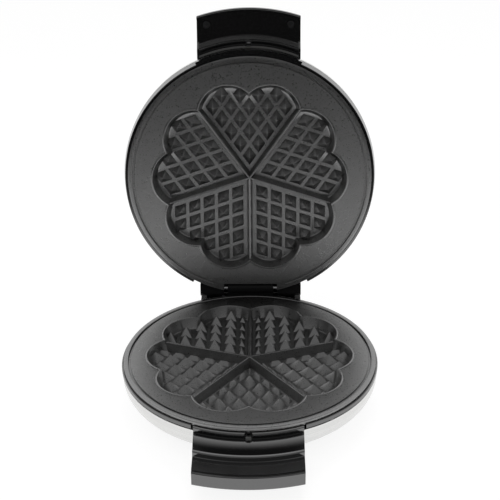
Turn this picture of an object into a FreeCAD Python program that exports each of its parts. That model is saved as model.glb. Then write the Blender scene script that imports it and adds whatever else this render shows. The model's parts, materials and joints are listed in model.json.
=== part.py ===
import FreeCAD, Part
import math
import os
import Sketcher
from FreeCAD import Placement, Rotation, Vector

# Heart waffle maker with its lid open. Lengths are millimetres, angles degrees.
# Every piece is drawn with the lid closed, about the middle of the baking plates, front handle at -Y.
# The lid's pieces are then swung open, and all pieces shifted so that the origin is under the middle.

doc = FreeCAD.newDocument("HeartWaffleMaker")
sheet = doc.addObject("Spreadsheet::Sheet", "sizes")

SIZES = {
    # Main levels, hinge and origin
    "plate_level": 48,
    "closing_gap": 2,
    "open_angle": 98.6,
    "hinge_back": 105.5,
    "hinge_rise": 7.5,
    "origin_forward": 18.3,
    "fit_gap": 0.1,
    "slack": 0.3,
    "cut_margin": 10,
    # Baking plates
    "lower_plate_radius": 106.4,
    "upper_plate_radius": 109,
    "lower_groove_radius": 101.5,
    "upper_groove_radius": 104.2,
    "groove_width": 1.3,
    "groove_depth": 1,
    "rim_thickness": 4,
    "casting_wall": 4,
    "hearts": 5,
    "lobe_reach": 86.3,
    "lobe_radius": 26.55,
    "cavity_depth": 9.5,
    "cavity_draft": 3.2,
    "bead_width": 2.2,
    "bead_height": 0.7,
    "stud_rows": 5,
    "stud_pitch": 13.05,
    "stud_width": 10.1,
    "stud_height": 7.3,
    "stud_tip": 0.5,
    "stud_margin": 5.9,
    "half_stud_from": 4.6,
    "divider_foot": 6,
    "divider_crest": 1.4,
    "divider_height": 8.2,
    "divider_reach": 78,
    "notch_half": 24.3,
    "notch_from": 100.2,
    "chord_from": 103.5,
    "pad_half": 32.4,
    "pad_from": 92.4,
    "pad_depth": 0.4,
    "tab_thickness": 1.9,
    "post_radius": 4,
    "post_circle": 98,
    "post_hole": 5,
    # Steel shells
    "sheet_steel": 0.8,
    "shell_radius": 107.4,
    "shell_wall": 4.4,
    "shell_corner": 18,
    "shell_opening": 84,
    "bezel_to_shell": 1.4,
    "dome_radius": 113,
    "dome_wall": 5.4,
    "dome_corner": 20,
    "dome_crown": 4,
    # Black rims between plate and shell
    "bezel_radius": 108,
    "bezel_inner": 92,
    "bezel_ledge": 2.1,
    "bezel_rim": 1.1,
    "bezel_height": 3.6,
    "bezel_edge": 0.4,
    "bezel_front_inner": 104.5,
    "bezel_rear_inner": 101.2,
    "lid_bezel_radius": 113,
    "lid_rim_radius": 111.4,
    "lid_rim_setback": 0.4,
    "lid_strip_radius": 113.6,
    "lid_strip_height": 4,
    "lid_bezel_rim": 2.4,
    "lid_bezel_height": 6.9,
    "lid_bezel_rear_inner": 99.2,
    "tab_width": 3.2,
    "tab_depth": 1.6,
    "tab_first": 37.5,
    "tab_sweep": 94,
    "tabs": 6,
    # Lower handle
    "lower_handle_half": 43,
    "lower_rim_drop": 3.4,
    "lower_rim_radius": 109.2,
    "ramp_drop": 8.6,
    "ramp_radius": 30,
    "ridge_radius": 123.2,
    "ridge_drop": 13.8,
    "ridge_rise": 0.6,
    "ridge_width": 2.8,
    "lower_shelf_drop": 17.3,
    "lower_shelf_fall": 0.8,
    "lower_tip_radius": 144.6,
    "lower_lip": 2.7,
    "lower_lip_round": 2,
    "lower_underside_drop": 30.2,
    "handle_skin": 2.4,
    "lower_heel_radius": 104,
    "lower_heel_drop": 23.8,
    "handle_hollow_sweep": 30,
    "locator_radius": 3.3,
    "locator_circle": 109.8,
    # Upper handle
    "upper_handle_half": 45.5,
    "upper_liner_half": 43.6,
    "panel_start": 114.4,
    "panel_rise": 15,
    "ledge_radius": 121.2,
    "ledge_rise": 14.4,
    "ledge_width": 4,
    "upper_shelf_rise": 18,
    "upper_shelf_climb": 1,
    "upper_tip_radius": 148,
    "upper_lip": 2.6,
    "upper_lip_drop": 0.4,
    "upper_front_height": 25,
    "upper_shoulder_radius": 143,
    "upper_shoulder_height": 29,
    "console_front_radius": 118,
    "console_front_height": 35.4,
    "console_back_radius": 78,
    "console_height": 42.4,
    "console_edge": 2,
    "nub_radius": 2.6,
    "nub_circle": 116.8,
    "nub_drop": 1.2,
    "handle_screw_circle": 133.5,
    "handle_screw_half": 37,
    "handle_screw_well": 3.2,
    "handle_screw_sink": 0.9,
    # Hinge
    "pin_radius": 1.75,
    "pin_half": 45.5,
    "pin_clearance": 0.05,
    "bush_radius": 2.8,
    "eye_radius": 4.7,
    "knuckle_half": 21,
    "knuckle_front": 104.1,
    "knuckle_back": 111,
    "ear_inner": 24.8,
    "ear_outer": 46.3,
    "ear_front": 101.5,
    "bracket_front": 95.8,
    "bracket_back": 113.2,
    "bracket_top": 86.6,
    "bracket_bridge": 8,
    "rear_gap_half": 46.9,
    "rear_gap_from": 95.4,
    "housing_half": 46.5,
    "housing_front": 89.8,
    "housing_back": 124,
    "housing_bottom": 5,
    "housing_top": 39.4,
    "housing_wall": 2.6,
    "housing_corner": 5,
    "stop_depth": 4.5,
    "stop_height": 4.1,
    # Bottom
    "bottom_level": 6,
    "bottom_radius": 80,
    "bottom_wall": 2.5,
    "bottom_flange": 88,
    "vent_slots": 10,
    "vent_circle": 52,
    "vent_length": 16,
    "vent_width": 3,
    "foot_radius": 8,
    "front_foot_half": 50,
    "front_foot_forward": 48,
    "rear_foot_half": 34,
    "rear_foot_back": 107,
    "foot_plug": 3,
    "foot_edge": 1,
    # Heaters, shields and wiring pieces
    "heater_radius": 3.3,
    "heater_circle": 58,
    "heater_mouth": 16,
    "heater_bend": 12,
    "heater_tail": 76,
    "shield_radius": 86,
    "shield_sheet": 0.6,
    "shield_drop": 24,
    "shield_rim": 3,
    "terminal_length": 34,
    "terminal_width": 16,
    "terminal_height": 9,
    "terminal_back": 64,
    "fuse_radius": 2.2,
    "fuse_length": 26,
    # Controls
    "dial_circle": 96,
    "dial_radius": 13,
    "dial_height": 9,
    "dial_well": 14,
    "dial_well_depth": 2,
    "dial_grip_slots": 24,
    "dial_grip_radius": 0.7,
    "dial_mark_width": 1.4,
    "shaft_radius": 3,
    "shaft_length": 16,
    "thermostat_length": 22,
    "thermostat_width": 18,
    "thermostat_height": 10,
    "lamp_radius": 3,
    "lamp_half": 24,
    "lamp_height": 4.6,
    # Screws and cord gland
    "screw_head": 3,
    "screw_head_height": 2,
    "screw_shank": 1.4,
    "screw_length": 9,
    "washer_head": 6,
    "bottom_screw_circle": 70,
    "lower_handle_screw_half": 20,
    "lower_handle_screw_circle": 129,
    "screw_slot": 0.8,
    "gland_radius": 6,
    "gland_flange": 8.4,
    "gland_bore": 3.6,
    "gland_level": 22,
    "gland_stand": 6,
}

for row, (alias, number) in enumerate(SIZES.items(), start=1):
    sheet.set(f"A{row}", alias.replace("_", " "))
    sheet.set(f"B{row}", str(number))
    sheet.setAlias(f"B{row}", alias)
doc.recompute()


class Size:
    """A length read from the sheet, with the expression that keeps a feature tied to it."""

    def __init__(self, value, text):
        self.value = value
        self.text = text

    def __add__(self, other):
        other = as_size(other)
        return Size(self.value + other.value, f"({self.text} + {other.text})")

    def __sub__(self, other):
        other = as_size(other)
        return Size(self.value - other.value, f"({self.text} - {other.text})")

    def __mul__(self, factor):
        factor = as_size(factor)
        return Size(self.value * factor.value, f"({self.text} * {factor.text})")

    __rmul__ = __mul__

    def __truediv__(self, divisor):
        divisor = as_size(divisor)
        return Size(self.value / divisor.value, f"({self.text} / {divisor.text})")

    def __neg__(self):
        return Size(-self.value, f"(0 - {self.text})")

    def __float__(self):
        return float(self.value)


def as_size(number):
    return number if isinstance(number, Size) else Size(float(number), f"{float(number):.6f}")


class Sheet:
    """Gives each named cell of the sheet as a Size."""

    def __getattr__(self, alias):
        return Size(float(sheet.get(alias)), f"sizes.{alias}")


mm = Sheet()


def sweep_across(half_width, radius):
    """The angle that an arc of this radius takes to cover twice the half width."""
    angle = 2 * math.degrees(math.asin(half_width.value / radius.value))
    return Size(angle, f"(2 * asin({half_width.text} / {radius.text}))")


# Levels that several pieces share
lid_level = mm.plate_level + mm.closing_gap
hinge_level = mm.plate_level + mm.hinge_rise
bezel_bottom = mm.plate_level - mm.rim_thickness - mm.fit_gap - mm.bezel_ledge
shell_top = bezel_bottom - mm.bezel_to_shell
shell_bottom = shell_top - mm.shell_wall - mm.shell_corner
lid_bezel_bottom = lid_level + mm.rim_thickness + mm.fit_gap
lid_bezel_top = lid_bezel_bottom + mm.lid_bezel_height
dome_bottom = lid_bezel_top + mm.bezel_to_shell
dome_turn = dome_bottom + mm.dome_wall
dome_shoulder = dome_turn + mm.dome_corner
pan_bottom = mm.plate_level - mm.cavity_depth - mm.casting_wall
pan_top = lid_level + mm.cavity_depth + mm.casting_wall

base_pieces = []
lid_pieces = []


def new_body(label, pieces):
    body = doc.addObject("PartDesign::Body", label)
    body.Label = label
    pieces.append(body)
    return body


def new_sketch(body, role, lift=None, turn=None):
    """A sketch on one of the body's own planes, lifted off it or turned in it where that is given."""
    sketch = body.newObject("Sketcher::SketchObject", body.Label + "_sketch")
    plane = next(item for item in body.Origin.OriginFeatures if item.Role == role)
    sketch.AttachmentSupport = [(plane, "")]
    sketch.MapMode = "FlatFace"
    if lift is not None:
        sketch.setExpression("AttachmentOffset.Base.z", lift.text)
    if turn is not None:
        sketch.AttachmentOffset = Placement(Vector(), Rotation(Vector(0, 0, 1), turn.value))
        sketch.setExpression("AttachmentOffset.Rotation.Angle", turn.text)
    return sketch


def pin_to_sheet(sketch, item, end, across, up):
    """Fixes one end of a line or arc, or a circle's middle, at a place given by the sheet."""
    for kind, axis, place in (("DistanceX", -2, across), ("DistanceY", -1, up)):
        if abs(place.value) < 1e-9:
            sketch.addConstraint(Sketcher.Constraint("PointOnObject", item, end, axis))
            continue
        index = sketch.addConstraint(Sketcher.Constraint(kind, -1, 1, item, end, place.value))
        sketch.setExpression(f"Constraints[{index}]", place.text)


def pin_radius(sketch, item, radius):
    index = sketch.addConstraint(Sketcher.Constraint("Radius", item, radius.value))
    sketch.setExpression(f"Constraints[{index}]", radius.text)


def arc_between(start, end, bend):
    """The arc from start to end with radius abs(bend), turning left where bend is positive."""
    chord = end - start
    left = Vector(-chord.y, chord.x, 0).normalize()
    reach = math.sqrt(bend * bend - chord.Length ** 2 / 4)
    middle = (start + end) * 0.5 + left * math.copysign(reach, bend)
    first, last = (start, end) if bend > 0 else (end, start)
    angles = [math.atan2(point.y - middle.y, point.x - middle.x) for point in (first, last)]
    return Part.ArcOfCircle(Part.Circle(middle, Vector(0, 0, 1), abs(bend)), *angles)


def draw_outline(sketch, corners):
    """A closed outline. A corner is (across, up), or (across, up, bend) at the end of an arc."""
    corners = [tuple(as_size(number) for number in corner) for corner in corners]
    points = [Vector(corner[0].value, corner[1].value, 0) for corner in corners]
    first = sketch.GeometryCount
    ends = []
    for index, corner in enumerate(corners):
        start, end = points[index - 1], points[index]
        if len(corner) == 2:
            sketch.addGeometry(Part.LineSegment(start, end))
            ends.append((1, 2))
        else:
            bend = corner[2].value
            sketch.addGeometry(arc_between(start, end, bend))
            ends.append((1, 2) if bend > 0 else (2, 1))
    count = len(corners)
    for index in range(count):
        after = (index + 1) % count
        joint = (first + index, ends[index][1], first + after, ends[after][0])
        sketch.addConstraint(Sketcher.Constraint("Coincident", *joint))
    for index, corner in enumerate(corners):
        pin_to_sheet(sketch, first + index, ends[index][1], corner[0], corner[1])
        if len(corner) == 3:
            bend = corner[2]
            pin_radius(sketch, first + index, bend if bend.value > 0 else -bend)
    return sketch


def draw_box(sketch, left, right, low, high):
    return draw_outline(sketch, [(left, low), (right, low), (right, high), (left, high)])


def draw_circle(sketch, across, up, radius):
    across, up, radius = as_size(across), as_size(up), as_size(radius)
    middle = Vector(across.value, up.value, 0)
    item = sketch.addGeometry(Part.Circle(middle, Vector(0, 0, 1), radius.value))
    pin_to_sheet(sketch, item, 3, across, up)
    pin_radius(sketch, item, radius)
    return sketch


def at_front(corners):
    """An outline given by radius and height, set on the front side of the middle plane."""
    return [(-as_size(corner[0]), corner[1]) + tuple(-as_size(bend) for bend in corner[2:])
            for corner in corners]


def checked(feature, adds):
    """Recomputes a feature and makes sure that it added or removed something."""
    doc.recompute()
    before = feature.BaseFeature.Shape.Volume if feature.BaseFeature else 0
    change = feature.Shape.Volume - before
    if (change if adds else -change) < 1e-3:
        raise RuntimeError(f"{feature.Label} changed the volume by {change:.3f}")
    return feature


def turn(body, sketch, adds=True, sweep=None, axis="V_Axis"):
    """A revolution or a groove about the sketch's own axis, all round or evenly to both sides."""
    kind = "PartDesign::Revolution" if adds else "PartDesign::Groove"
    feature = body.newObject(kind, body.Label + "_turn")
    feature.Profile = sketch
    feature.ReferenceAxis = (sketch, [axis])
    feature.Angle = 360
    if sweep is not None:
        feature.Midplane = True
        feature.setExpression("Angle", sweep.text)
    return checked(feature, adds)


def extrude(body, sketch, length=None, adds=True, both=False, back=False):
    """A pad or a pocket: right through where no length is given, to both sides or backwards if asked."""
    kind = "PartDesign::Pad" if adds else "PartDesign::Pocket"
    feature = body.newObject(kind, body.Label + "_extrude")
    feature.Profile = sketch
    feature.Midplane = both
    feature.Reversed = back
    if length is None:
        feature.Type = "ThroughAll"
    else:
        feature.setExpression("Length", length.text)
    return checked(feature, adds)


def repeat_round(body, feature, count, sweep):
    """Repeats a feature about the vertical axis, evenly over the sweep."""
    pattern = body.newObject("PartDesign::PolarPattern", body.Label + "_pattern")
    pattern.Originals = [feature]
    upright = next(item for item in body.Origin.OriginFeatures if item.Role == "Z_Axis")
    pattern.Axis = (upright, [""])
    pattern.Angle = abs(sweep.value)
    pattern.Reversed = sweep.value < 0
    pattern.Occurrences = int(count.value)
    body.Tip = pattern
    doc.recompute()
    return pattern


def round_edges(body, radius, wanted):
    """Rounds the edges of the body so far whose middle point passes the test."""
    doc.recompute()
    base = body.Tip
    names = []
    for number, edge in enumerate(base.Shape.Edges, start=1):
        middle = edge.valueAt((edge.FirstParameter + edge.LastParameter) / 2)
        if wanted(middle, edge):
            names.append(f"Edge{number}")
    fillet = body.newObject("PartDesign::Fillet", body.Label + "_round")
    fillet.Base = (base, names)
    fillet.setExpression("Radius", as_size(radius).text)
    doc.recompute()
    return fillet


def turned_piece(label, pieces, corners):
    """A piece turned all round the vertical axis from an outline of radii and heights."""
    body = new_body(label, pieces)
    turn(body, draw_outline(new_sketch(body, "XZ_Plane"), corners))
    return body


def trim_sides(body, half_width):
    """Cuts a front piece straight, at the same distance on the left and the right."""
    far = half_width * 2
    deep = mm.upper_tip_radius + mm.cut_margin
    for left, right in ((half_width, far), (-far, -half_width)):
        box = draw_box(new_sketch(body, "XY_Plane"), left, right, -deep, -mm.lobe_reach * 0.5)
        extrude(body, box, adds=False, both=True)


def plain_piece(label, pieces, shape):
    """A piece whose shape is put together from the sheet's sizes with solid geometry."""
    feature = doc.addObject("Part::Feature", label)
    feature.Label = label
    feature.Shape = shape
    pieces.append(feature)
    return feature


# Baking plates

def rosette(growth, level):
    """Outline of the ring of hearts, ten lobes, grown outwards by some distance, at a level."""
    lobes = int(mm.hearts.value) * 2
    half_step = math.pi / lobes
    centre_circle = mm.lobe_reach.value - mm.lobe_radius.value
    radius = mm.lobe_radius.value + growth
    aside = centre_circle * math.sin(half_step)
    cusp = centre_circle * math.cos(half_step) + math.sqrt(radius ** 2 - aside ** 2)
    edges = []
    for lobe in range(lobes):
        angles = [2 * half_step * lobe + step * half_step - math.pi / 2 for step in (0, 1, 2)]
        reaches = (cusp, centre_circle + radius, cusp)
        points = [Vector(reach * math.cos(angle), reach * math.sin(angle), level)
                  for reach, angle in zip(reaches, angles)]
        edges.append(Part.Arc(*points).toShape())
    return Part.Wire(edges)


def rosette_block(growth, level, growth_below, level_below):
    """Solid between two outlines of the ring of hearts, with straight sloping walls."""
    return Part.makeLoft([rosette(growth, level), rosette(growth_below, level_below)], True, True)


def stud(centre, along, across, half_along, half_across):
    """One pointed stud on a rhombic foot, with a small flat tip. A narrow stud is lower."""
    slant = along.cross(across).Length
    half = mm.stud_width.value / 2
    tip = mm.stud_tip.value / mm.stud_width.value
    up = Vector(0, 0, mm.stud_height.value * min(half_along, half_across) / half)
    sink = Vector(0, 0, mm.casting_wall.value / 2)
    signs = ((1, 1), (-1, 1), (-1, -1), (1, -1), (1, 1))
    rings = []
    for size, lift in ((1 / slant, Vector()), (tip / slant, up)):
        ring = [centre + lift + (along * a * half_along + across * b * half_across) * size for a, b in signs]
        rings.append(Part.makePolygon(ring))
    block = Part.Face(rings[0]).extrude(-sink)
    return block.fuse(Part.makeLoft(rings, True, True))


def stud_rows(staggered):
    """Distance from the side of a heart, and half width, of each row of studs. Staggered rows of the lower plate
    stand where the upper plate has its gaps, and begin with a narrow row along the ridge."""
    pitch = mm.stud_pitch.value
    half = mm.stud_width.value / 2
    first = mm.stud_margin.value + half
    count = int(mm.stud_rows.value)
    if not staggered:
        return [(first + pitch * number, half) for number in range(count)]
    low = mm.half_stud_from.value
    high = first + pitch / 2 - half - (pitch - 2 * half)
    narrow = ((low + high) / 2, (high - low) / 2)
    return [narrow] + [(first + pitch * (number + 0.5), half) for number in range(count)]


def heart_studs(axis_angle, floor, limit, staggered):
    """The studs of one heart, in rows parallel to its two straight sides."""
    edge_turn = math.pi / mm.hearts.value
    sides = []
    for sign in (-1, 1):
        angle = axis_angle + sign * edge_turn
        sides.append(Vector(math.cos(angle), math.sin(angle), 0))
    slant = math.sin(2 * edge_turn)
    rows = stud_rows(staggered)
    furthest = int(mm.stud_rows.value) + (1 if staggered else 0)
    studs = []
    for i, (along, half_along) in enumerate(rows):
        for j, (across, half_across) in enumerate(rows):
            if i + j > furthest:
                continue
            centre = (sides[0] * along + sides[1] * across) * (1 / slant) + Vector(0, 0, floor)
            piece = stud(centre, *sides, half_along, half_across)
            near_wall = centre.Length > mm.lobe_reach.value - 2 * mm.stud_width.value
            studs.append(piece.common(limit) if near_wall else piece)
    return studs


def divider(angle, floor):
    """One ridge between two hearts, from the middle out to the wall."""
    foot = mm.divider_foot.value / 2
    crest = mm.divider_crest.value / 2
    low = floor - mm.casting_wall.value / 2
    high = floor + mm.divider_height.value
    section = ((-foot, low), (-foot, floor), (-crest, high), (crest, high), (foot, floor), (foot, low))
    points = [Vector(0, across, up) for across, up in section]
    ridge = Part.Face(Part.makePolygon(points + points[:1])).extrude(Vector(mm.divider_reach.value, 0, 0))
    ridge.rotate(Vector(), Vector(0, 0, 1), math.degrees(angle))
    return ridge


def ring(outer, inner, low, height):
    tube = Part.makeCylinder(outer, height, Vector(0, 0, low))
    return tube.cut(Part.makeCylinder(inner, height, Vector(0, 0, low)))


def box_between(left, right, front, back, low, high):
    return Part.makeBox(right - left, back - front, high - low, Vector(left, front, low))


def baking_plate(radius, groove_radius, staggered):
    """A cast plate with its cooking face up at level 0: pan of hearts, studs, ridges, bead and groove."""
    floor = -mm.cavity_depth.value
    wall = mm.casting_wall.value
    bead = mm.bead_height.value
    draft = mm.cavity_draft.value
    disc = Part.makeCylinder(radius, mm.rim_thickness.value, Vector(0, 0, -mm.rim_thickness.value))
    pan = rosette_block(wall, -mm.rim_thickness.value / 2, wall - draft, floor - wall)
    ridge = rosette_block(mm.bead_width.value, -bead, mm.bead_width.value * 0.7, bead)
    cavity = rosette_block(draft * bead / -floor, bead, -draft, floor)
    limit = rosette_block(wall / 2, -bead, wall / 2 - draft, floor - wall * 0.75)
    body = disc.fuse([pan, ridge]).cut(cavity)
    step = 2 * math.pi / mm.hearts.value
    relief = []
    for heart in range(int(mm.hearts.value)):
        axis_angle = -math.pi / 2 + step * heart
        relief += heart_studs(axis_angle, floor, limit, staggered)
        relief.append(divider(axis_angle + step / 2, floor))
    body = body.fuse(relief).removeSplitter()
    half_groove = mm.groove_width.value / 2
    depth = mm.groove_depth.value
    body = body.cut(ring(groove_radius + half_groove, groove_radius - half_groove, -depth, 2 * depth))
    thick = mm.rim_thickness.value
    for place in post_places():
        foot = place - Vector(0, 0, thick / 2)
        length = thick / 2 + mm.bezel_ledge.value
        post = Part.makeCylinder(mm.post_radius.value, length, foot, Vector(0, 0, -1))
        hole_foot = foot - Vector(0, 0, length)
        hole = Part.makeCylinder(mm.screw_shank.value, mm.post_hole.value, hole_foot)
        body = body.fuse(post).cut(hole)
    return body


def post_places():
    """Where the screw posts of a plate stand, on a circle clear of the hearts and of the handle."""
    step = 2 * math.pi / mm.hearts.value
    angles = [math.pi / 2 + step * (post + 0.5) for post in range(int(mm.hearts.value))]
    return [Vector(math.cos(angle), math.sin(angle), 0) * mm.post_circle.value for angle in angles]


def make_lower_plate():
    shape = baking_plate(mm.lower_plate_radius.value, mm.lower_groove_radius.value, staggered=True)
    thick = mm.rim_thickness.value
    flat = box_between(-mm.notch_half.value, mm.notch_half.value, mm.chord_from.value,
                       mm.lower_plate_radius.value + thick, -2 * thick, thick)
    shape = shape.cut(flat)
    shape.translate(Vector(0, 0, mm.plate_level.value))
    plain_piece("lower_plate", base_pieces, shape)


def make_upper_plate():
    shape = baking_plate(mm.upper_plate_radius.value, mm.upper_groove_radius.value, staggered=False)
    radius = mm.upper_plate_radius.value
    thick = mm.rim_thickness.value
    half = mm.notch_half.value
    pad = mm.pad_half.value
    gap = mm.rear_gap_half.value
    notch = box_between(-half, half, mm.notch_from.value, radius + thick, -2 * thick, thick)
    recess = box_between(-pad, pad, mm.pad_from.value, radius + thick, -mm.pad_depth.value, thick)
    relief = box_between(-gap, gap, mm.notch_from.value, radius + thick, -2 * thick, -mm.tab_thickness.value)
    shape = shape.cut([notch, recess, relief])
    shape.rotate(Vector(), Vector(0, 1, 0), 180)
    shape.translate(Vector(0, 0, lid_level.value))
    plain_piece("upper_plate", lid_pieces, shape)


# Steel shells

def rear_cut(body, half_width, front):
    """Opens a turned piece at the back, where the hinge parts pass."""
    far = mm.bracket_back + mm.cut_margin * 2
    extrude(body, draw_box(new_sketch(body, "XY_Plane"), -half_width, half_width, front, far),
            adds=False, both=True)


def make_base_shell():
    radius = mm.shell_radius
    turn_radius = radius - mm.shell_corner
    turn_level = shell_bottom + mm.shell_corner
    inside = mm.sheet_steel
    body = turned_piece("base_shell", base_pieces, [
        (radius, shell_top),
        (radius, turn_level),
        (turn_radius, shell_bottom, -mm.shell_corner),
        (mm.shell_opening, shell_bottom),
        (mm.shell_opening, shell_bottom + inside),
        (turn_radius, shell_bottom + inside),
        (radius - inside, turn_level, mm.shell_corner - inside),
        (radius - inside, shell_top),
    ])
    rear_cut(body, mm.housing_half + mm.slack, mm.housing_front - mm.slack)


def crown_radius(half_width):
    return (half_width * half_width + mm.dome_crown * mm.dome_crown) / (mm.dome_crown * 2)


def make_lid_shell():
    radius = mm.dome_radius
    turn_radius = radius - mm.dome_corner
    inside = mm.sheet_steel
    top = dome_shoulder + mm.dome_crown
    crown = crown_radius(turn_radius)
    body = turned_piece("lid_shell", lid_pieces, [
        (radius, dome_bottom),
        (radius, dome_turn),
        (turn_radius, dome_shoulder, mm.dome_corner),
        (0, top, crown),
        (0, top - inside),
        (turn_radius, dome_shoulder - inside, -crown),
        (radius - inside, dome_turn, inside - mm.dome_corner),
        (radius - inside, dome_bottom),
    ])
    rear_cut(body, mm.rear_gap_half, mm.rear_gap_from)
    hole = draw_circle(new_sketch(body, "XY_Plane"), 0, -mm.dial_circle, mm.shaft_radius + 2)
    extrude(body, hole, adds=False, both=True)


# Black rims

def add_spacer_tabs(body, radius, low, high):
    """Small tabs across the gap between the rim and the steel, on both sides."""
    for sign in (1, -1):
        turn_by = mm.tab_first * sign
        sketch = new_sketch(body, "XY_Plane", lift=low, turn=turn_by)
        half = mm.tab_width / 2
        draw_box(sketch, -half, half, -radius, mm.tab_depth - radius)
        tab = extrude(body, sketch, high - low)
        repeat_round(body, tab, mm.tabs, mm.tab_sweep * sign)


def make_base_bezel():
    radius = mm.bezel_radius
    ledge_top = bezel_bottom + mm.bezel_ledge
    top = bezel_bottom + mm.bezel_height
    rim_inner = radius - mm.bezel_rim
    body = turned_piece("base_bezel", base_pieces, [
        (mm.bezel_inner, bezel_bottom),
        (radius, bezel_bottom),
        (radius, top - mm.bezel_edge),
        (radius - mm.bezel_edge, top),
        (rim_inner, top),
        (rim_inner, ledge_top),
        (mm.bezel_inner, ledge_top),
    ])
    low, high, far = bezel_bottom - 1, top + 1, radius + 1
    front = at_front([(mm.bezel_front_inner, low), (far, low), (far, high), (mm.bezel_front_inner, high)])
    turn(body, draw_outline(new_sketch(body, "YZ_Plane"), front), adds=False,
         sweep=sweep_across(mm.lower_handle_half + mm.slack, mm.bezel_front_inner))
    rear = draw_box(new_sketch(body, "YZ_Plane"), mm.bezel_rear_inner, far, low, high)
    turn(body, rear, adds=False, sweep=sweep_across(mm.housing_half + mm.slack, mm.bezel_rear_inner))
    add_spacer_tabs(body, radius - mm.bezel_edge, shell_top, bezel_bottom)
    cut_post_holes(body)


def make_lid_bezel():
    radius = mm.lid_bezel_radius
    ledge_top = lid_bezel_bottom + mm.bezel_ledge
    rim_inner = radius - mm.lid_bezel_rim
    rim_front = lid_level + mm.lid_rim_setback
    plate_seat = mm.upper_plate_radius + mm.slack
    body = turned_piece("lid_bezel", lid_pieces, [
        (mm.bezel_inner, lid_bezel_bottom),
        (plate_seat, lid_bezel_bottom),
        (plate_seat, rim_front),
        (mm.lid_rim_radius - mm.bezel_edge, rim_front),
        (mm.lid_rim_radius, rim_front + mm.bezel_edge),
        (radius, lid_bezel_top),
        (rim_inner, lid_bezel_top),
        (rim_inner, ledge_top),
        (mm.bezel_inner, ledge_top),
    ])
    strip_back = rim_front + mm.lid_strip_height
    strip = at_front([
        (mm.upper_plate_radius + mm.bezel_rim, rim_front),
        (mm.lid_strip_radius, rim_front),
        (mm.lid_strip_radius, strip_back),
        (mm.upper_plate_radius + mm.bezel_rim, strip_back),
    ])
    turn(body, draw_outline(new_sketch(body, "YZ_Plane"), strip),
         sweep=sweep_across(mm.upper_handle_half + mm.bezel_rim, mm.lid_strip_radius))
    low, high, far = rim_front - 1, lid_bezel_top + 1, radius + 1
    rear = draw_box(new_sketch(body, "YZ_Plane"), mm.lid_bezel_rear_inner, far, low, high)
    turn(body, rear, adds=False, sweep=sweep_across(mm.rear_gap_half, mm.lid_bezel_rear_inner))
    add_spacer_tabs(body, radius - mm.bezel_edge, lid_bezel_top, dome_bottom)
    cut_post_holes(body)


def cut_post_holes(body):
    """Holes in the ledge of a rim, through which the plate's screw posts pass."""
    sketch = new_sketch(body, "XY_Plane")
    for place in post_places():
        draw_circle(sketch, place.x, place.y, mm.post_radius + mm.slack)
    extrude(body, sketch, adds=False, both=True)


# Lower handle

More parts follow.
